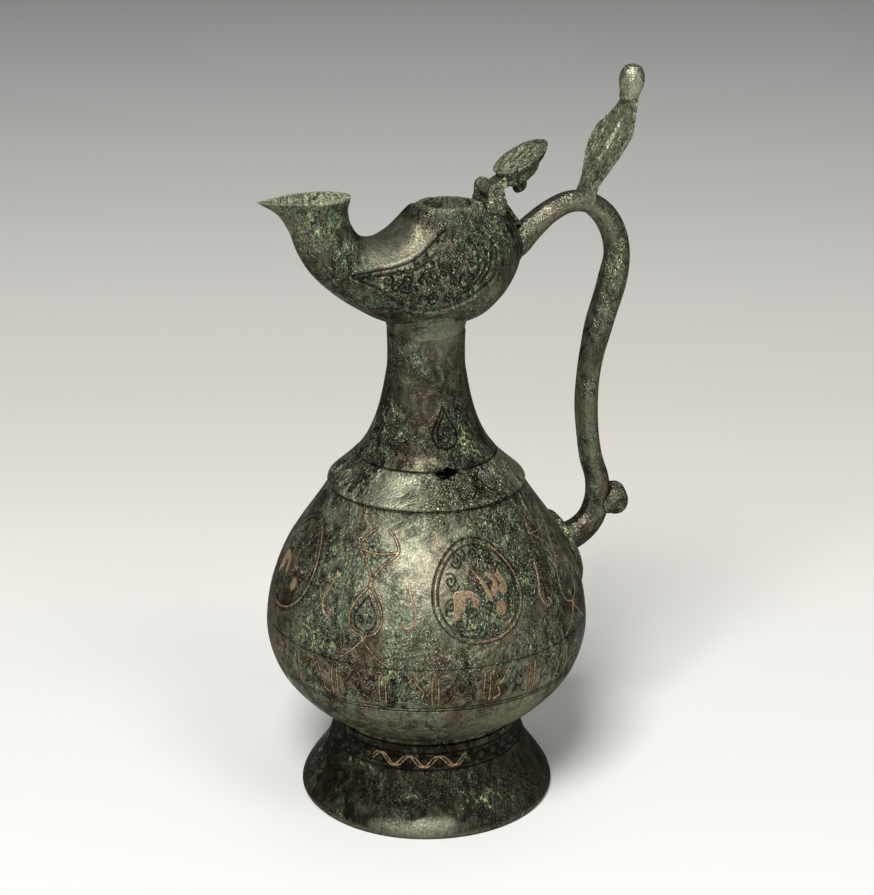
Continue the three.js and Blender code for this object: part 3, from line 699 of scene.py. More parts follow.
seam_cover = 0.4 * MM
body_profile, body_surface = ring_shape(body_shares, 0, body_radius, body_low.z, body_high.z, 230)
foot_top_radius = body_profile[0, 0] + foot_lip
foot_profile, foot_surface = ring_shape(
    foot_shares, foot_top_radius, foot_radius, foot_low.z, foot_high.z, 110)
collar_radius = body_profile[-1, 0] + collar_lip
collar_profile, collar_surface = ring_shape(
    collar_shares, neck_foot_radius, collar_radius, collar_low.z, collar_high.z, 50)
neck_profile, neck_surface = ring_shape(
    neck_shares, neck_radius, neck_foot_radius, neck_low.z, neck_high.z + seam_cover, 120)


def finish_ring(piece, slot, source, name, surface, spots, waves, **look):
    """Marks the crusted spots, leaves the surface uneven and dresses it."""
    placed = [(surface_place(angle, up, surface), size, weight) for angle, up, size, weight in spots]
    set_value(piece, "crusted", soft_spots(positions(piece), placed))
    uneven(piece, *waves)
    dress(piece, source, bronze(name, piece, **look))


def make_body():
    piece = profile_ring("body", body_profile, body_wall, 640, 24)
    set_value(piece, "cut", line_distance(piece, cut_strokes, body_surface))
    set_value(piece, "wire", line_distance(piece, wire_strokes, body_surface))
    finish_ring(piece, "bronze_dark", "body_shell", "body_bronze", body_surface, body_spots,
                (0.22 * MM, 28.0, 3.0), green=0.55, crust=0.42, worn=0.2, rough=0.36, light=1.2, polish=0.42,
                depth=0.92, ink=0.85, sparkle=0.8)


# Braid of two strands round the foot: heights in mm, crossings to a turn and half width of a strand
braid_low = 24.9
braid_high = 31.5
braid_margin = 1.1
braid_cells = 20
strand_half = 0.07
# Stretches of it that still hold their copper: middle and half width in degrees
copper_stretches = [(-117, 29), (50, 34)]
foot_spots = [
    (-80, 10, 8, 1.0), (-80, 19, 8, 0.6), (-136, 5, 6, -0.6), (-125, 5, 6, -0.8), (-114, 5, 6, -0.9),
    (-103, 5, 6, -0.8), (-108, 17, 7, 1.2), (-118, 18, 7, 0.9), (-122, 13, 6, 0.9), (-96, 18, 6, 1.0),
    (-60, 8, 8, 0.6), (-140, 15, 9, 1.0), (60, 16, 12, 0.7), (150, 12, 14, 0.5),
]


def copper_kept(places):
    angle = np.degrees(np.arctan2(places[:, 1], places[:, 0] - axis_x))
    return np.any([np.abs(angle - middle) < half for middle, half in copper_stretches], axis=0)


def strand(turns, shift):
    """A wave of the braid, moved along by a share of its length."""
    middle = (braid_low + braid_high) / 2
    swing = (braid_high - braid_low) / 2 - braid_margin
    return [(a, middle + swing * math.sin(2 * math.pi * (a * braid_cells / 360 + shift))) for a in turns]


def make_foot():
    piece = profile_ring("foot", foot_profile, foot_wall, 540, 16)
    turns = np.linspace(-50.0, 50.0, 241)
    lines = [ring_line(height, height) for height in (braid_low - 0.2, braid_high + 0.2)]
    lines += [strand(turns, 0.5 - strand_half), strand(turns, 0.5 + strand_half)]
    cut = line_distance(piece, lines, foot_surface)
    wire = line_distance(piece, [strand(turns, -strand_half), strand(turns, strand_half)], foot_surface)
    kept = copper_kept(positions(piece))
    set_value(piece, "cut", np.where(kept, cut, np.minimum(cut, wire)))
    set_value(piece, "wire", np.where(kept, wire, line_reach))
    height = positions(piece)[:, 2]
    rubbed = ease(3.4 * MM, 1.6 * MM, height) * ease(0.0, 0.8 * MM, height)
    set_value(piece, "worn", rubbed * 0.3)
    finish_ring(piece, "bronze_foot", "foot_ring", "foot_bronze", foot_surface, foot_spots,
                (0.25 * MM, 26.0, 9.0), green=0.2, crust=0.1, worn=0.0, rough=0.40, light=0.42, polish=0.62,
                sparkle=0.2, depth=1.0)


# The ragged hole where the collar meets the neck: its middle, half sizes, and the depth of its floor
hole_place = (-94.9, 147.6)
hole_half = (4.6 * MM, 1.55 * MM)
hole_floor = 1.6 * MM
hole_zone = 12 * MM
collar_spots = [
    (-70, 142, 14, 0.9), (-100, 143, 8, 0.6), (-135, 141, 12, -0.9), (60, 142, 16, 0.5), (150, 141, 14, 0.4),
]
collar_strokes = [
    ring_line(136.4, 136.3),
    volute((17.0, 143.4), 2.6, 120, 1.3, 1.7),
    volute((17.0, 141.0), 2.0, 300, -1.2, 1.7),
    [(8.0, 139.6), (13.0, 141.6), (17.0, 145.8), (22.0, 141.6), (27.0, 139.8)],
]
neck_spots = [
    (-84, 160, 7, 0.6), (-72, 154, 9, 0.7), (-150, 158, 9, 0.6), (-108, 153, 11, -0.5), (-100, 180, 10, 0.2),
    (-130, 178, 12, -0.3), (60, 165, 14, 0.5), (170, 160, 14, 0.5),
]
neck_squeeze = 3.1
neck_leaf = [
    [(0, 171.4), (-2.4, 166.6), (-4.6, 161.6), (-3.2, 157.4), (0, 155.6)],
    [(0, 171.4), (2.0, 166.8), (4.4, 162.0), (3.4, 157.6), (0, 155.6)],
    [(0, 168.6), (-2.0, 164.4), (-2.8, 160.8), (0, 158.0), (2.4, 160.6)],
]


def pierce(piece, strokes, surface):
    """Stores the distance to the strokes and the ragged hole, and pushes the hole's floor in; the material
    paints the hole's shade black.
    """
    turn = math.radians(hole_place[0])
    offset = positions(piece) - surface_place(*hole_place, surface)
    across = offset @ np.array([-math.sin(turn), math.cos(turn), 0.0])
    size = np.hypot(across / hole_half[0], offset[:, 2] / hole_half[1])
    close = np.linalg.norm(offset, axis=1) < hole_zone
    wave = np.zeros(len(close))
    wave[close] = soft_noise(positions(piece)[close], 420, (4.0, 0.0, 4.0))
    outside = np.where(close, (size - 1 - wave * 0.8) * hole_half[1], hole_zone)
    cut = line_distance(piece, strokes, surface)
    push(piece, -ease(0.0, -1.2 * MM, outside) * hole_floor)
    set_value(piece, "cut", np.where(outside < 0.5 * MM, outside, cut))


def make_collar():
    piece = profile_ring("collar", collar_profile, body_wall, 480, 10)
    pierce(piece, collar_strokes, collar_surface)
    # worn=1.0 and light=1.3 make the collar lighter: partly wear, partly painted light where it faces up to
    # the lamps
    finish_ring(piece, "bronze_light", "shoulder_collar", "collar_bronze", collar_surface, collar_spots,
                (0.28 * MM, 40.0, 5.0), green=0.35, crust=0.5, worn=1.0, light=1.3)


def make_neck():
    piece = profile_ring("throat", neck_profile, neck_wall, 400, 20)
    strokes = [[(across * neck_squeeze, up) for across, up in stroke] for stroke in neck_leaf]
    strokes.append(volute((1.0 * neck_squeeze, 161.6), 2.2, 40, 1.4, neck_squeeze))
    strokes.append(volute((-1.6 * neck_squeeze, 159.6), 1.3, 200, -1.2, neck_squeeze))
    strokes.append(ring_line(148.5, 148.4))
    pierce(piece, strokes, neck_surface)
    finish_ring(piece, "bronze_dark", "neck", "neck_bronze", neck_surface, neck_spots,
                (0.25 * MM, 36.0, 7.0), green=0.55, crust=0.24, worn=0.1, rough=0.30, light=0.70,
                sparkle=0.5)


# Joining and cutting of meshes

def modify(piece, kind, **settings):
    """Gives a piece's mesh what one modifier makes of it."""
    step = piece.modifiers.new(kind, kind)
    for key, value in settings.items():
        setattr(step, key, value)
    bpy.context.view_layer.update()
    graph = bpy.context.evaluated_depsgraph_get()
    fresh = bpy.data.meshes.new_from_object(piece.evaluated_get(graph))
    piece.modifiers.clear()
    old = piece.data
    piece.data = fresh
    bpy.data.meshes.remove(old)


def combine(piece, other, operation):
    """Joins or cuts with another object, which is then removed."""
    modify(piece, "BOOLEAN", operation=operation, solver="EXACT", object=other)
    bpy.data.objects.remove(other)


def soft_edges(piece, degrees=42.0):
    shade_smooth(piece)
    piece.data.set_sharp_from_angle(angle=math.radians(degrees))


def loft_object(name, rings, end_tip=None):
    """Closed skin through rings, from the middle of the first to a tip or the middle of the last."""
    rows, cols = rings.shape[:2]
    if end_tip is None:
        end_tip = rings[-1].mean(0)
    vertices = np.vstack([rings.reshape(-1, 3), rings[0].mean(0), end_tip])
    faces = grid_faces(rows, cols)
    first, last = rows * cols, rows * cols + 1
    for col in range(cols):
        right = (col + 1) % cols
        faces.append((first, right, col))
        faces.append((last, (rows - 1) * cols + col, (rows - 1) * cols + right))
    piece = mesh_object(name, vertices, faces)
    work = bmesh.new()
    work.from_mesh(piece.data)
    bmesh.ops.recalc_face_normals(work, faces=work.faces)
    work.to_mesh(piece.data)
    work.free()
    return piece


def round_cap(rings, tip, steps):
    """Rings that close the last one over to a tip in a soft dome."""
    last = rings[-1]
    middle = last.mean(0)
    added = []
    for k in range(1, steps):
        turn = k / steps * math.pi / 2
        added.append(middle + (last - middle) * math.cos(turn) + (tip - middle) * math.sin(turn))
    return np.concatenate([rings, np.array(added)])


# Spout head

head_base = neck_high.z + head_stub_height
head_top = head_base + head_top_share * head_height
fill_x = axis_x + hinge_x - lid_reach
cut_overrun = 6 * MM


def head_place(shares):
    """Places in the ewer's side plane from shares of the head's length and height."""
    x, z = np.atleast_2d(np.array(shares, float)).T
    return np.stack([axis_x + x * head_length, 0 * x, head_base + z * head_height], 1)


def head_rings(offset, rows, cols):
    along = np.linspace(0, 1, rows)
    lower = head_place(curve_at(head_lower_shares, along))
    upper = head_place(curve_at(head_upper_shares, along))
    width = curve_at(head_width_shares, along)
    chord = upper - lower
    chord /= np.linalg.norm(chord, axis=1)[:, None]
    lower = lower - chord * offset
    upper = upper + chord * offset
    half = width[:, 0] * head_half_width + offset
    turn = round_turns(cols)
    rise = (1 - np.cos(turn)) / 2
    sharp = rise[None] ** (np.maximum(width[:, 1], 0)[:, None] / 2)
    narrow = 1 - width[:, 2][:, None] * rise[None] ** 2
    rings = lower[:, None] * (1 - rise)[None, :, None] + upper[:, None] * rise[None, :, None]
    rings[..., 0] += (offset * along ** head_back_ease)[:, None]
    rings[..., 1] = half[:, None] * np.sin(turn)[None] * sharp * narrow
    return rings


def head_solid(name, offset, rows, cols, overrun=0.0):
    rings = head_rings(offset, rows, cols)
    tip = head_place(head_back_shares)[0] + np.array([offset, 0, 0])
    rings = round_cap(rings, tip, 8)
    if overrun:
        rings = np.concatenate([rings[:1] + np.array([0, 0, overrun]), rings])
    return loft_object(name, rings, tip)


def turned_solid(name, rows, x, cols=96):
    """Solid of revolution through (radius, height) rows round an upright axis at x."""
    rows = np.array(rows)
    return loft_object(name, turned(rows[:, None, 0], round_turns(cols), rows[:, None, 1], x))


def drill(piece, radius, low, high, x):
    """Cuts an upright round hole at x."""
    combine(piece, turned_solid("bore", [(radius, low), (radius, high)], x), "DIFFERENCE")


def shaped_rows(shares, radius, bottom, height, count=24):
    rows = curve_at(shares, np.linspace(0, 1, count))
    return [(r * radius, bottom + z * height) for r, z in rows]


wing_outline_shares = [
    (-0.335, 0.485), (-0.266, 0.52), (-0.19, 0.54), (-0.113, 0.584), (-0.032, 0.671), (0.053, 0.734),
    (0.124, 0.744), (0.181, 0.688), (0.205, 0.567), (0.185, 0.42), (0.121, 0.325), (0.058, 0.262),
    (-0.054, 0.204), (-0.153, 0.256), (-0.255, 0.40),
]
wing_depth = 0.9 * MM
wing_groove = 0.45 * MM
crest_rise = 0.55 * MM
mouth_lip = 0.8 * MM
mound_rise = 3.2 * MM
mound_reach = 6.5 * MM
# Volutes cut into the wing: place as shares, size in mm, start and turns
wing_volutes = [
    (0.135, 0.60, 5.6, 90, 1.7), (0.02, 0.585, 4.4, 60, -1.6), (0.075, 0.40, 4.6, 300, 1.5),
    (-0.06, 0.44, 4.0, 200, -1.5), (-0.055, 0.30, 2.8, 250, 1.3), (-0.145, 0.40, 3.4, 160, 1.4),
    (-0.215, 0.45, 2.6, 120, -1.3), (0.01, 0.30, 2.4, 280, -1.2), (0.165, 0.47, 2.2, 350, 1.2),
    (-0.27, 0.47, 1.6, 100, 1.0), (0.07, 0.69, 2.0, 40, 1.0), (-0.005, 0.48, 1.8, 10, 1.1),
]
wing_rib = [(-0.31, 0.47), (-0.20, 0.50), (-0.10, 0.53), (-0.02, 0.62), (0.05, 0.69)]
wing_stroke_count = 90
# Crusted places (above zero) and rubbed ones (below zero) on the head: shares, size in mm, weight
head_spots = [
    (-0.56, 0.98, 9, 0.5), (0.09, 0.90, 13, 0.9), (-0.02, 0.80, 6, 0.7), (0.20, 0.70, 6, 1.1),
    (-0.30, 0.38, 10, 0.8), (0.05, 0.28, 12, 0.6), (0.02, 0.48, 14, 0.45), (-0.21, 0.62, 9, -1.2),
    (-0.08, 0.70, 8, -1.2), (0.05, 0.79, 5, -0.7), (-0.45, 0.60, 12, 0.2), (0.10, 0.06, 12, -0.4),
    (0.30, 0.40, 9, -0.4),
]


def inside_outline(points, loop):
    """True for each point inside a closed outline."""
    x, y = points[:, 0], points[:, 1]
    found = np.zeros(len(points), bool)
    for (x0, y0), (x1, y1) in zip(loop, np.roll(loop, -1, axis=0)):
        crosses = (y0 > y) != (y1 > y)
        slope = (x1 - x0) / ((y1 - y0) if y1 != y0 else 1e-12)
        found ^= crosses & (x < x0 + (y - y0) * slope)
    return found


def flat_distance(points, loop, limit):
    flat = np.column_stack([points, np.zeros(len(points))])
    marks = np.column_stack([loop, np.zeros(len(loop))])
    return near(flat, marks, limit)


def side_volute(x, z, size, start, turns, steps=14):
    """Volute on the ewer's side plane, about a place given as shares of the head."""
    middle = head_place((x, z))[0] / MM
    return np.array(volute((middle[0], middle[2]), size, start, turns, 1.0, steps)) * MM


def wing_strokes():
    """Volutes, three quills, a rib and stray curls, as (x, z) on the ewer's side plane."""
    strokes = [side_volute(*form) for form in wing_volutes]
    for shift in (0.0, 0.022, 0.044):
        quill = [(0.195, 0.60), (0.180, 0.50), (0.14, 0.40), (0.07, 0.32 - shift)]
        strokes.append(head_place(np.array(quill) - (shift, 0))[:, [0, 2]])
    strokes.append(head_place(wing_rib)[:, [0, 2]])
    curl_zone = np.array(wing_outline_shares) * 0.88 + (0, 0.055)
    chance = random.Random(5)
    while len(strokes) < wing_stroke_count:
        x, z = chance.uniform(-0.26, 0.18), chance.uniform(0.24, 0.70)
        if inside_outline(np.array([(x, z)]), curl_zone)[0]:
            start, size = chance.uniform(0, 360), chance.uniform(0.9, 2.3)
            strokes.append(side_volute(x, z, size, start, chance.choice((-0.5, 0.45, 0.8)), 8))
    return np.concatenate([even_curve(stroke, 260) for stroke in strokes])


def from_fill(places):
    """Distance from the axis of the fill opening."""
    return np.hypot(places[:, 0] - fill_x, places[:, 1])


def below_top(places, low, high):
    """Eases from 0 to 1 between two depths in mm under the head's top."""
    return ease(head_top - low * MM, head_top - high * MM, places[:, 2])


def shape_wings(piece, skin):
    """Sinks a panel with a raised edge into each side of the head, with cut volutes in it."""
    places = positions(piece)
    flat = places[:, [0, 2]]
    loop = head_place(even_curve(wing_outline_shares, 400, closed=True))[:, [0, 2]]
    field = flat_distance(flat, loop, 5 * MM)
    field = np.where(inside_outline(flat, loop), -field, field)
    cut = flat_distance(flat, wing_strokes(), line_reach)
    outer = ease(1.2 * MM, 0.6 * MM, near(places, skin, line_reach))
    share = outer * ease(3 * MM, 6 * MM, np.abs(places[:, 1]))
    sink = -wing_depth * ease(0.2 * MM, -1.2 * MM, field)
    crest = crest_rise * np.exp(-((field - 0.9 * MM) / (1.2 * MM)) ** 2)
    groove = -wing_groove * ease(0.7 * MM, 0.15 * MM, cut)
    push(piece, (sink + crest + groove) * share)
    cut = np.minimum(cut, np.abs(field + 0.4 * MM))
    set_value(piece, "cut", line_reach + (cut - line_reach) * (share > 0.5))
    spots = [(head_place((x, z))[0, [0, 2]], size, weight) for x, z, size, weight in head_spots]
    panel = ease(-0.3 * MM, -1.5 * MM, field) * 0.25 * share
    set_value(piece, "crusted", soft_spots(flat, spots) * outer + panel)
    level = (places[:, 2] - head_base) / head_height
    # The mouth's rim edge is marked worn and pale: partly wear, partly a painted highlight along the lip
    rim = ease(0.975, 0.992, level)
    mouth = ease(0.72, 0.86, level) * (places[:, 0] < axis_x - 0.28 * head_length) * (1 - outer)
    opening = ease(4.2 * MM, 2.2 * MM, np.abs(from_fill(places) - fill_radius)) * below_top(places, 12, 2)
    set_value(piece, "worn", rim * 0.9)
    set_value(piece, "bloom", np.max([mouth, rim * 0.85, opening * 0.5], axis=0))


def raise_mound(piece):
    """Draws the head's top up in front of the fill opening, to meet its rim."""
    places = positions(piece)
    away = from_fill(places) - fill_radius - fill_rim_width
    share = np.exp(-(np.maximum(away, 0) / mound_reach) ** 2) * ease(-0.3 * MM, 0.3 * MM, away)
    share *= below_top(places, 16, 6) * ease(fill_x + 8 * MM, fill_x, places[:, 0])
    places[:, 2] += np.minimum(mound_rise * share, np.maximum(head_top - places[:, 2], 0))
    set_positions(piece, places)


def crumble(piece):
    """Eats into the fill opening's rim unevenly, as corrosion has."""
    places = positions(piece)
    share = ease(7 * MM, 2.5 * MM, np.abs(from_fill(places) - fill_radius - 1 * MM))
    share *= below_top(places, 6, 1)
    push(piece, (soft_noise(places, 330) + 0.5 * soft_noise(places, 800)) * share * 0.4 * MM)


def make_head():
    tip = head_place(head_back_shares)[0]
    rings = round_cap(head_rings(0.0, 230, 240), tip, 12)
    lip = mouth_lip * ease(0.06, 0.0, np.linspace(0, 1, len(rings)))
    spread = rings - rings.mean(1, keepdims=True)
    spread /= np.linalg.norm(spread, axis=2, keepdims=True) + 1e-9
    head = loft_object("head", rings + spread * lip[:, None, None] * np.array([1, 1, 0]), tip)
    skin = positions(head)
    rim_radius = fill_radius + fill_rim_width
    stub = shaped_rows(head_stub_shares, neck_radius, neck_high.z, head_stub_height + head_stub_overlap)
    rim = shaped_rows(fill_rim_shares, rim_radius, head_top - fill_rim_drop, fill_rim_drop + fill_rim_rise)
    combine(head, turned_solid("stub", stub, axis_x), "UNION")
    combine(head, turned_solid("rim", rim, fill_x), "UNION")
    combine(head, head_solid("hollow", -head_wall, 110, 120, cut_overrun), "DIFFERENCE")
    drill(head, neck_radius - neck_wall, neck_high.z - cut_overrun, head_base + cut_overrun, axis_x)
    drill(head, fill_radius, head_top - 2 * cut_overrun, head_top + cut_overrun, fill_x)
    shape_wings(head, skin)
    uneven(head, 0.25 * MM, 45.0, 11.0)
    raise_mound(head)
    crumble(head)
    soft_edges(head)
    dress(head, "spout_head", bronze(
        "head_bronze", head, green=0.62, crust=0.20, worn=0.2, rough=0.32, light=0.85, polish=0.55,
        sparkle=0.6, ink=0.8,
    ))


# Handle

handle_foot = body_low.z + (body_high.z - body_low.z) * handle_foot_share
handle_rise = head_top - crown_drop - handle_foot
head_back_x = head_back_shares[0] * head_length
handle_line = np.array(handle_path_shares) * (handle_reach - head_back_x, handle_rise)
handle_line += (axis_x + head_back_x, handle_foot)
crown = curve_at(handle_line, [crown_place_share])[0]


def off_spine(spine, level, y):
    """Places at a level to the outer side of a line in the ewer's side plane, and y across it."""
    out = -sideways(spine)
    x = spine[:, None, 0] + out[:, None, 0] * level
    z = spine[:, None, 1] + out[:, None, 1] * level
    return np.stack([x, y, z], 2)


def handle_rings(rows, cols):
    along = np.linspace(0, 1, rows)
    girth = curve_at(handle_girth_shares, along)
    around = np.arange(cols) / cols
    corners = np.array(handle_section_shares + handle_section_shares[:1])
    spots = np.linspace(0, 1, len(corners))
    flat = np.stack([np.interp(around, spots, corners[:, k]) for k in range(2)], 1)
    section = 0.75 * flat + 0.25 * curve_at(handle_section_shares, around, closed=True)
    level = section[None, :, 0] * girth[:, :1] * handle_half_depth
    y = section[None, :, 1] * girth[:, 1:] * handle_half_width
    return off_spine(curve_at(handle_line, along), level, y)


def make_handle():
    bar = loft_object("handle", handle_rings(300, 72))
    combine(bar, head_solid("back", 0.0, 90, 96), "DIFFERENCE")
    uneven(bar, 0.35 * MM, 60.0, 13.0)
    soft_edges(bar, 60.0)
    places = positions(bar)
    from_crown = np.hypot(places[:, 0] - crown[0] + 10 * MM, places[:, 2] - crown[1])
    set_value(bar, "worn", 0.42 * ease(34 * MM, 12 * MM, from_crown))
    dress(bar, "handle_bar", bronze(
        "handle_bronze", bar, green=0.45, crust=0.15, worn=0.1, rough=0.30, light=0.8, depth=0.6,
    ))


# Thumb-piece leaf

leaf_spread = 1.20
leaf_root_spread = 0.4
midrib_rise = 1.3 * MM
midrib_half_width = 1.1 * MM
rib_rise = 0.28 * MM
rib_pitch = 1.7 * MM


def make_leaf():
    along = np.linspace(0, 1, 120)
    across = np.linspace(-1, 1, 61)
    shares = np.array(leaf_shares)
    spine = curve_at(crown + shares[:, :2] * (leaf_lean, leaf_length), along)
    half, thickness, curl = curve_at(shares[:, 2:], along).T
    thick = thickness[:, None] * leaf_thickness * (1 - across ** 2 / 2)
    curl = curl[:, None]
    wide = leaf_half_width * (leaf_spread + leaf_root_spread * np.exp(-(along / 0.12) ** 2))
    y = across * (half * wide)[:, None]
    midrib = midrib_rise * np.exp(-(y / midrib_half_width) ** 2) * curl
    slant = np.abs(y) * 0.8 + along[:, None] * leaf_length * 0.05
    ribs = rib_rise * np.cos(math.pi * 2 * slant / rib_pitch) * curl * ease(0.06, 0.22, np.abs(across))
    hollow = curl * leaf_hollow * across ** 2
    front = off_spine(spine, -hollow - thick / 2 - midrib - ribs, y)
    rear = off_spine(spine, -hollow + thick / 2, y)
    leaf = loft_object("leaf", np.concatenate([front, rear[:, ::-1]], 1))
    uneven(leaf, 0.2 * MM, 90.0, 17.0)
    soft_edges(leaf, 50.0)
    set_value(leaf, "bloom", np.full(len(leaf.data.vertices), 0.34))
    dress(leaf, "thumb_leaf", bronze(
        "leaf_bronze", leaf, green=0.7, crust=0.2, worn=0.5, rough=0.30, light=1.15, depth=0.4,
    ))


# Small cast pieces: the frame's own shape, softened and worn

def weathered(name, source, voxel, smoothing, amount, seed):
    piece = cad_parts[source].copy()
    piece.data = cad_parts[source].data.copy()
    piece.name = name
    for key in list(piece.keys()):
        del piece[key]
    piece.parent = None
    bpy.context.scene.collection.objects.link(piece)
    modify(piece, "REMESH", mode="VOXEL", voxel_size=voxel)
    modify(piece, "SMOOTH", factor=0.5, iterations=smoothing)
    shade_smooth(piece)
    uneven(piece, amount, 160.0, seed)
    return piece


def rib_lid(piece):
    """Raises fanned ribs inside the lid; it stands open, so its places are first turned back to closed."""
    hinge_low, hinge_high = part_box("hinge_pin")
    hinge_middle = (hinge_low + hinge_high) / 2
    sine, cosine = math.sin(lid_open_angle), math.cos(lid_open_angle)
    places = positions(piece)
    out = normals(piece)
    dx = places[:, 0] - hinge_middle.x
    dz = places[:, 2] - hinge_middle.z
    along = dx * cosine - dz * sine + lid_reach
    up = dx * sine + dz * cosine
    facing_up = out[:, 0] * sine + out[:, 2] * cosine
    away = np.hypot(along, places[:, 1])
    fan = np.arctan2(places[:, 1], 16 * MM - along)
    inside = ease(10.2 * MM, 8.6 * MM, away) * ease(0.1, -0.3, facing_up)
    outside = ease(-0.1, 0.4, facing_up) * ease(0.5 * MM, 2 * MM, up)
    ribs = rib_rise * np.cos(fan * 2 * math.pi / 0.19) * inside
    lobes = 0.55 * MM * np.abs(np.cos(fan * math.pi / 0.24)) * outside
    above_rim = up - up[away > 9.5 * MM].min()
    lift = above_rim * (0.28 * outside - 0.62 * inside) + 0.5 * MM * ease(1.2 * MM, 0.3 * MM, above_rim)
    axis = np.array([sine, 0.0, cosine])
    set_positions(piece, places + out * (ribs + lobes)[:, None] + axis * lift[:, None])
    # The outer rim edge is made paler with bloom: a painted highlight along the lid's edge
    edge = (1 - inside) * ease(1.4 * MM, 0.4 * MM, above_rim)
    set_value(piece, "bloom", 0.5 * inside + 0.4 * edge)


bud_gap = 1.3 * MM
bud_spread = 1.13


def seat_bud(piece):
    """Draws the bud's foot down to close the joint under it, and makes it a little wider."""
    places = positions(piece)
    low = places[:, 2].min()
    places[:, 2] -= bud_gap * ease(low + 3 * MM, low, places[:, 2])
    places[:, 0] -= bud_gap * 0.35 * ease(low + 3 * MM, low, places[:, 2])
    middle = (places.min(0) + places.max(0))[:2] / 2
    places[:, :2] = middle + (places[:, :2] - middle) * bud_spread
    set_positions(piece, places)


# Each look's light factor is partly the piece's own tone and partly painted light, higher for pieces that
# face the lamps
# Small pieces: name, node, step of the skin in mm, rounds of smoothing, unevenness in mm, slot and look
small_pieces = [
    ("bracket", "hinge_bracket", 0.40, 14, 0.75, "bronze_light",
     dict(green=0.5, crust=0.6, worn=0.6, light=1.4)),
    ("pad", "handle_pad", 0.45, 14, 0.30, "bronze_dark", dict(green=0.5, crust=0.5, worn=0.3)),
    ("knop", "handle_knop", 0.35, 14, 0.45, "bronze_light", dict(green=0.4, crust=0.7, worn=0.3, light=0.9)),
    ("bud", "thumb_bud", 0.30, 14, 0.12, "bronze_light",
     dict(green=0.2, crust=0.3, worn=1.0, rough=0.32, light=1.8, depth=0.6)),
    ("flap", "lid", 0.35, 10, 0.30, "bronze_dark",
     dict(green=0.7, crust=0.3, worn=0.9, rough=0.32, light=1.3, depth=0.7)),
    ("knob", "lid_knob", 0.22, 8, 0.20, "bronze_dark", dict(green=0.4, crust=0.5, worn=0.4)),
]


def make_small_pieces():
    for seed, (name, source, voxel, smoothing, amount, slot, look) in enumerate(small_pieces):
        piece = weathered(name, source, voxel * MM, smoothing, amount * MM, 20.0 + seed)
        if source == "lid":
            rib_lid(piece)
        if source == "thumb_bud":
            seat_bud(piece)
        body = "lid" if source in ("lid", "lid_knob") else "ewer"
        dress(piece, source, bronze(name + "_bronze", piece, **look), body)


# Copper inlay

scroll_height = 16.5 * MM
scroll_reach = 7.0 * MM
scroll_offset = 17.5 * MM
wire_half_width = 0.6 * MM
scroll_rows = 90
inlay_height = body_low.z + (body_high.z - body_low.z) * 0.69
scroll_shares = [
    (-0.36, 0.5), (-0.22, 0.30), (0.04, 0.06), (0.30, -0.16), (0.28, -0.35), (0.04, -0.48), (-0.24, -0.47),
    (-0.32, -0.37), (-0.12, -0.33),
]


def on_body(u, z, angle, proud):
    """Places u along the surface from an angle, at height z, standing proud of it."""
    radius = body_surface(z)
    return turned(radius + proud, angle + np.arcsin(np.clip(u / radius, -1, 1)), z, axis_x)


def copper(name):
    material, tree = new_material(name)
    where = object_places(tree)
    cloud = value_noise(tree, where, 260.0, 5.0, 0.6)
    grain = value_noise(tree, where, 1500.0, 3.0, 0.7)
    colour = blend(grain.step(0.35, 0.65), copper_dull, copper_tone)
    colour = blend(cloud.step(0.60, 0.72), colour, green_mid)
    colour = blend(cloud.step(0.42, 0.32), colour, bronze_dark)
    height = grain * 0.3 + cloud
    bump = node(tree, "ShaderNodeBump", {"Height": height, "Strength": 0.6, "Distance": 0.3 * MM})
    finish_shader(tree, node(tree, "ShaderNodeBsdfPrincipled", {
        "Base Color": colour, "Metallic": 0.5, "Roughness": cloud.step(0.3, 0.7, 0.34, 0.60),
        "Normal": bump.outputs["Normal"],
    }))
    return material


def make_scroll(number, material):
    """One of a mirrored pair of wires half-way between two medallions."""
    pair, right = divmod(number - 1, 2)
    angle = math.radians(-quarter * (pair + 1.5))
    middle = (scroll_offset, inlay_height)
    line = even_curve(np.array(scroll_shares) * (scroll_reach, scroll_height) + middle, scroll_rows)
    line[:, 0] *= 2 * right - 1
    across = np.linspace(-1, 1, 9)
    ends = np.minimum(np.linspace(0, 12, scroll_rows), np.linspace(12, 0, scroll_rows))
    half = np.clip(ends + 0.35, 0, 1)[:, None] * wire_half_width * across
    flat = line[:, None] + sideways(line)[:, None] * half[..., None]
    u, z = flat[..., 0], flat[..., 1]
    proud = 0.14 * MM - 0.34 * MM * across ** 4 - 0.05 * MM * across ** 2
    low = on_body(u[:, ::-1], z[:, ::-1], angle, -0.6 * MM)
    piece = loft_object(f"scroll_{number}", np.concatenate([on_body(u, z, angle, proud), low], 1))
    soft_edges(piece, 60.0)
    dress(piece, f"inlay_scroll_{number}", material)


# The beast in the medallion, a generic animal of separate copper patches: (degrees, height in mm)
beast_patches = [
    [(-9.9, 109.7), (-6.2, 110.1), (-2.2, 109.0), (-0.4, 105.6), (-1.2, 102.9), (-3.0, 104.2), (-3.9, 106.8),
     (-5.4, 107.3), (-6.3, 103.4), (-8.0, 102.2), (-9.3, 100.1), (-10.7, 101.0), (-10.8, 105.3),
     (-10.9, 108.1)],
    [(-2.5, 117.6), (-0.6, 116.0), (2.2, 113.0), (4.3, 109.2), (5.3, 106.2), (3.7, 105.0), (2.7, 108.0),
     (0.9, 111.8), (-1.3, 115.1)],
    [(3.9, 115.5), (8.3, 114.2), (10.0, 115.9), (11.0, 113.7), (12.5, 109.9), (11.8, 106.8), (9.3, 106.2),
     (8.0, 107.9), (5.7, 106.1), (4.6, 108.4), (6.2, 111.0), (4.2, 113.4)],
    [(6.6, 104.5), (9.6, 103.9), (9.8, 100.9), (7.6, 99.2), (5.7, 100.3)],
]


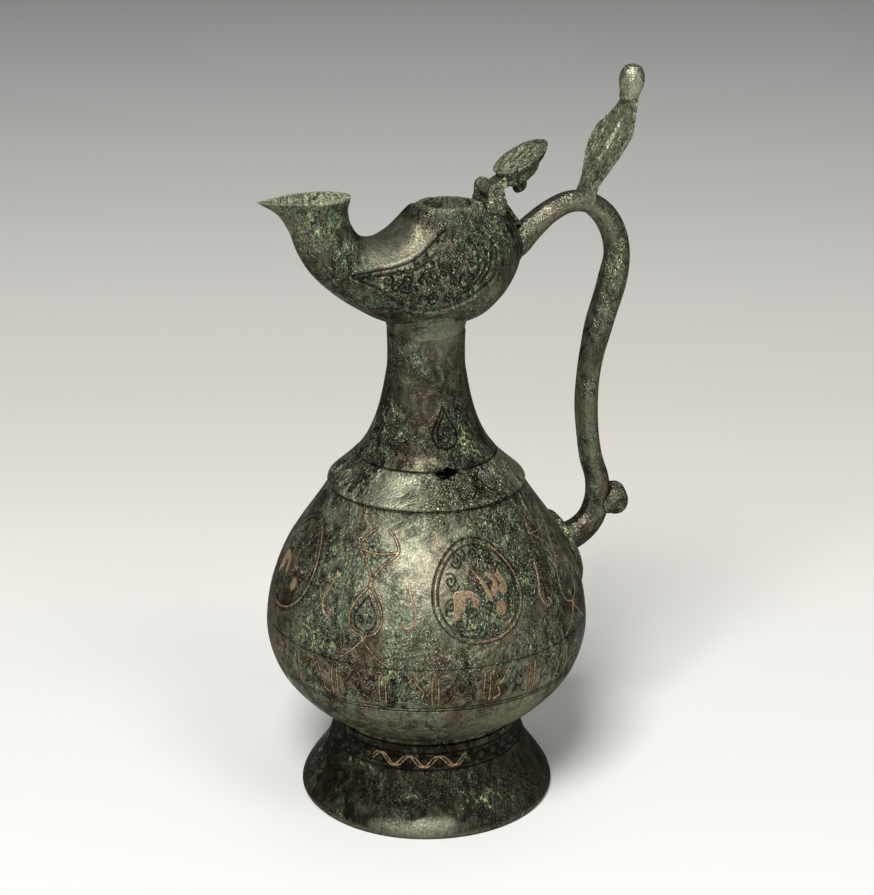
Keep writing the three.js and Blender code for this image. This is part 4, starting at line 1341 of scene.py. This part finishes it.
def patch_island(loop, step=0.32 * MM):
    """Grid of (u, z, depth) inside an outline, its border drawn onto the outline, with its cells."""
    flat = np.array([(math.radians(a) * body_radius, z * MM) for a, z in loop])
    edge = even_curve(flat, 240, closed=True)
    low = edge.min(0) - 2 * step
    counts = np.ceil((edge.max(0) + 2 * step - low) / step).astype(int)
    points = low + np.indices(counts).reshape(2, -1).T * step
    gaps = np.linalg.norm(points[:, None] - edge[None], axis=2)
    nearest = gaps.argmin(1)
    depth = gaps.min(1) * np.where(inside_outline(points, edge), 1, -1)
    rim = (depth < 0.4 * step) & (depth > -1.2 * step)
    points[rim] = edge[nearest[rim]]
    depth[rim] = 0
    cells = []
    for i in range(counts[0] - 1):
        for k in range(counts[1] - 1):
            first = i * counts[1] + k
            corners = [first, first + counts[1], first + counts[1] + 1, first + 1]
            if min(depth[corners]) >= 0 and max(depth[corners]) > 0:
                cells.append(corners)
    used = sorted({corner for cell in cells for corner in cell})
    order = {old: new for new, old in enumerate(used)}
    return points[used], depth[used], [[order[c] for c in cell] for cell in cells]


def make_beast(number, material):
    angle = math.radians(medallion_angle - quarter * (number - 1))
    vertices = []
    faces = []
    for loop in beast_patches:
        points, depth, cells = patch_island(loop)
        proud = 0.16 * MM * ease(0, 0.5 * MM, depth) - 0.12 * MM
        z = points[:, 1]
        start = len(vertices)
        vertices += list(turned(body_surface(z) + proud, angle + points[:, 0] / body_radius, z, axis_x))
        faces += [[start + c for c in cell] for cell in cells]
    piece = mesh_object(f"beast_{number}", vertices, faces)
    modify(piece, "SOLIDIFY", thickness=0.5 * MM, offset=-1.0)
    shade_smooth(piece)
    dress(piece, f"inlay_figure_{number}", material)


def make_inlays():
    material = copper("inlay_copper")
    for number in (1, 2, 3):
        make_beast(number, material)
    for number in range(1, 9):
        make_scroll(number, material)


# Stage: floor, lamps and camera

# Paper: how far beyond the ewer in metres, how pale and how warm; the paleness is painted shade that, with
# the lamps' falloff, grades the paper with distance
paper_shade_steps = [
    (-0.60, 0.84, 0.02), (-0.10, 0.83, 0.03), (-0.02, 0.82, 0.04), (0.07, 0.82, 0.06), (0.19, 0.83, 0.08),
    (0.33, 0.76, 0.10), (0.52, 0.73, 0.13), (0.77, 0.73, 0.09), (1.13, 0.71, 0.06), (1.70, 0.73, 0.04),
    (2.71, 0.82, 0.03),
]
paper_near = paper_shade_steps[0][0]
paper_far = paper_shade_steps[-1][0]
paper_half = 12.0


def make_stage():
    """Pale paper that darkens softly away from the camera, its colour graded with distance as painted shade
    besides the lamps' falloff.
    """
    corners = [(x * paper_half, y * paper_half, 0) for x, y in ((-1, -1), (1, -1), (1, 1), (-1, 1))]
    floor = mesh_object("floor", corners, [(0, 1, 2, 3)])
    material, tree = new_material("floor_paper")
    parts = node(tree, "ShaderNodeSeparateXYZ", {0: object_places(tree)}).outputs
    depth = Field(tree, parts["X"]) * -math.sin(camera_turn)
    depth = depth + Field(tree, parts["Y"]) * math.cos(camera_turn)
    place = node(tree, "ShaderNodeMapRange", {"Value": depth, "From Min": paper_near, "From Max": paper_far})
    ramp = node(tree, "ShaderNodeValToRGB", {0: place.outputs["Result"]})
    elements = ramp.color_ramp.elements
    while len(elements) < len(paper_shade_steps):
        elements.new(0.5)
    for element, (distance, level, warmth) in zip(elements, paper_shade_steps):
        element.position = (distance - paper_near) / (paper_far - paper_near)
        element.color = (level, level * (1 - warmth * 0.3), level * (1 - warmth), 1)
    finish_shader(tree, node(tree, "ShaderNodeBsdfDiffuse", {"Color": ramp.outputs[0]}))
    set_material(floor, material)


def view_place(right, back, up):
    """A place to the right of, beyond and above the body's axis, as the camera sees it."""
    c, s = math.cos(camera_turn), math.sin(camera_turn)
    return (axis_x + right * c - back * s, right * s + back * c, up)


# Lamps: turn to the right of the camera and rise in degrees, distance and width in metres, power in watts
aim_height = 0.13
world_glow = 0.06
lamps = [
    ("key", -17, 51, 3.0, 1.1, 107.0),
    ("fill", 42, 48, 3.0, 1.0, 18.0),
    ("overhead", 150, 80, 2.6, 1.6, 9.0),
]


def lamp(name, turn, rise, distance, width, power):
    """Square lamp at a turn and a rise seen from the ewer, aimed at it."""
    light = bpy.data.lights.new(name, "AREA")
    light.shape = "RECTANGLE"
    light.size = width
    light.size_y = width
    light.energy = power
    level = distance * math.cos(math.radians(rise))
    turn = math.radians(turn)
    up = aim_height + distance * math.sin(math.radians(rise))
    made = new_object(name, light)
    made.location = view_place(level * math.sin(turn), -level * math.cos(turn), up)
    aim = Vector((axis_x, 0, aim_height)) - made.location
    made.rotation_euler = aim.to_track_quat("-Z", "Y").to_euler()


def make_lights():
    world = bpy.data.worlds.new("studio")
    bpy.context.scene.world = world
    world.use_nodes = True
    tree = world.node_tree
    tree.nodes.clear()
    glow = node(tree, "ShaderNodeBackground", {"Color": (1, 1, 1), "Strength": world_glow})
    finish_shader(tree, glow, "ShaderNodeOutputWorld")
    for settings in lamps:
        lamp(*settings)


def make_camera():
    data = bpy.data.cameras.new("camera")
    data.sensor_fit = "HORIZONTAL"
    data.sensor_width = camera_sensor
    data.lens = camera_lens
    camera = new_object("camera", data)
    camera.location = view_place(0, -camera_distance, camera_height)
    camera.rotation_euler = (camera_tilt, 0, camera_turn + camera_yaw)
    bpy.context.scene.camera = camera


make_camera()
make_stage()
make_lights()
make_body()
make_foot()
make_collar()
make_neck()
make_head()
make_handle()
make_leaf()
make_small_pieces()
make_inlays()
for source in ("base_disc", "hinge_pin"):
    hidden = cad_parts[source]
    set_material(hidden, bronze(source + "_bronze", hidden, green=0.3, crust=0.3))

bpy.context.scene.view_settings.view_transform = "Standard"
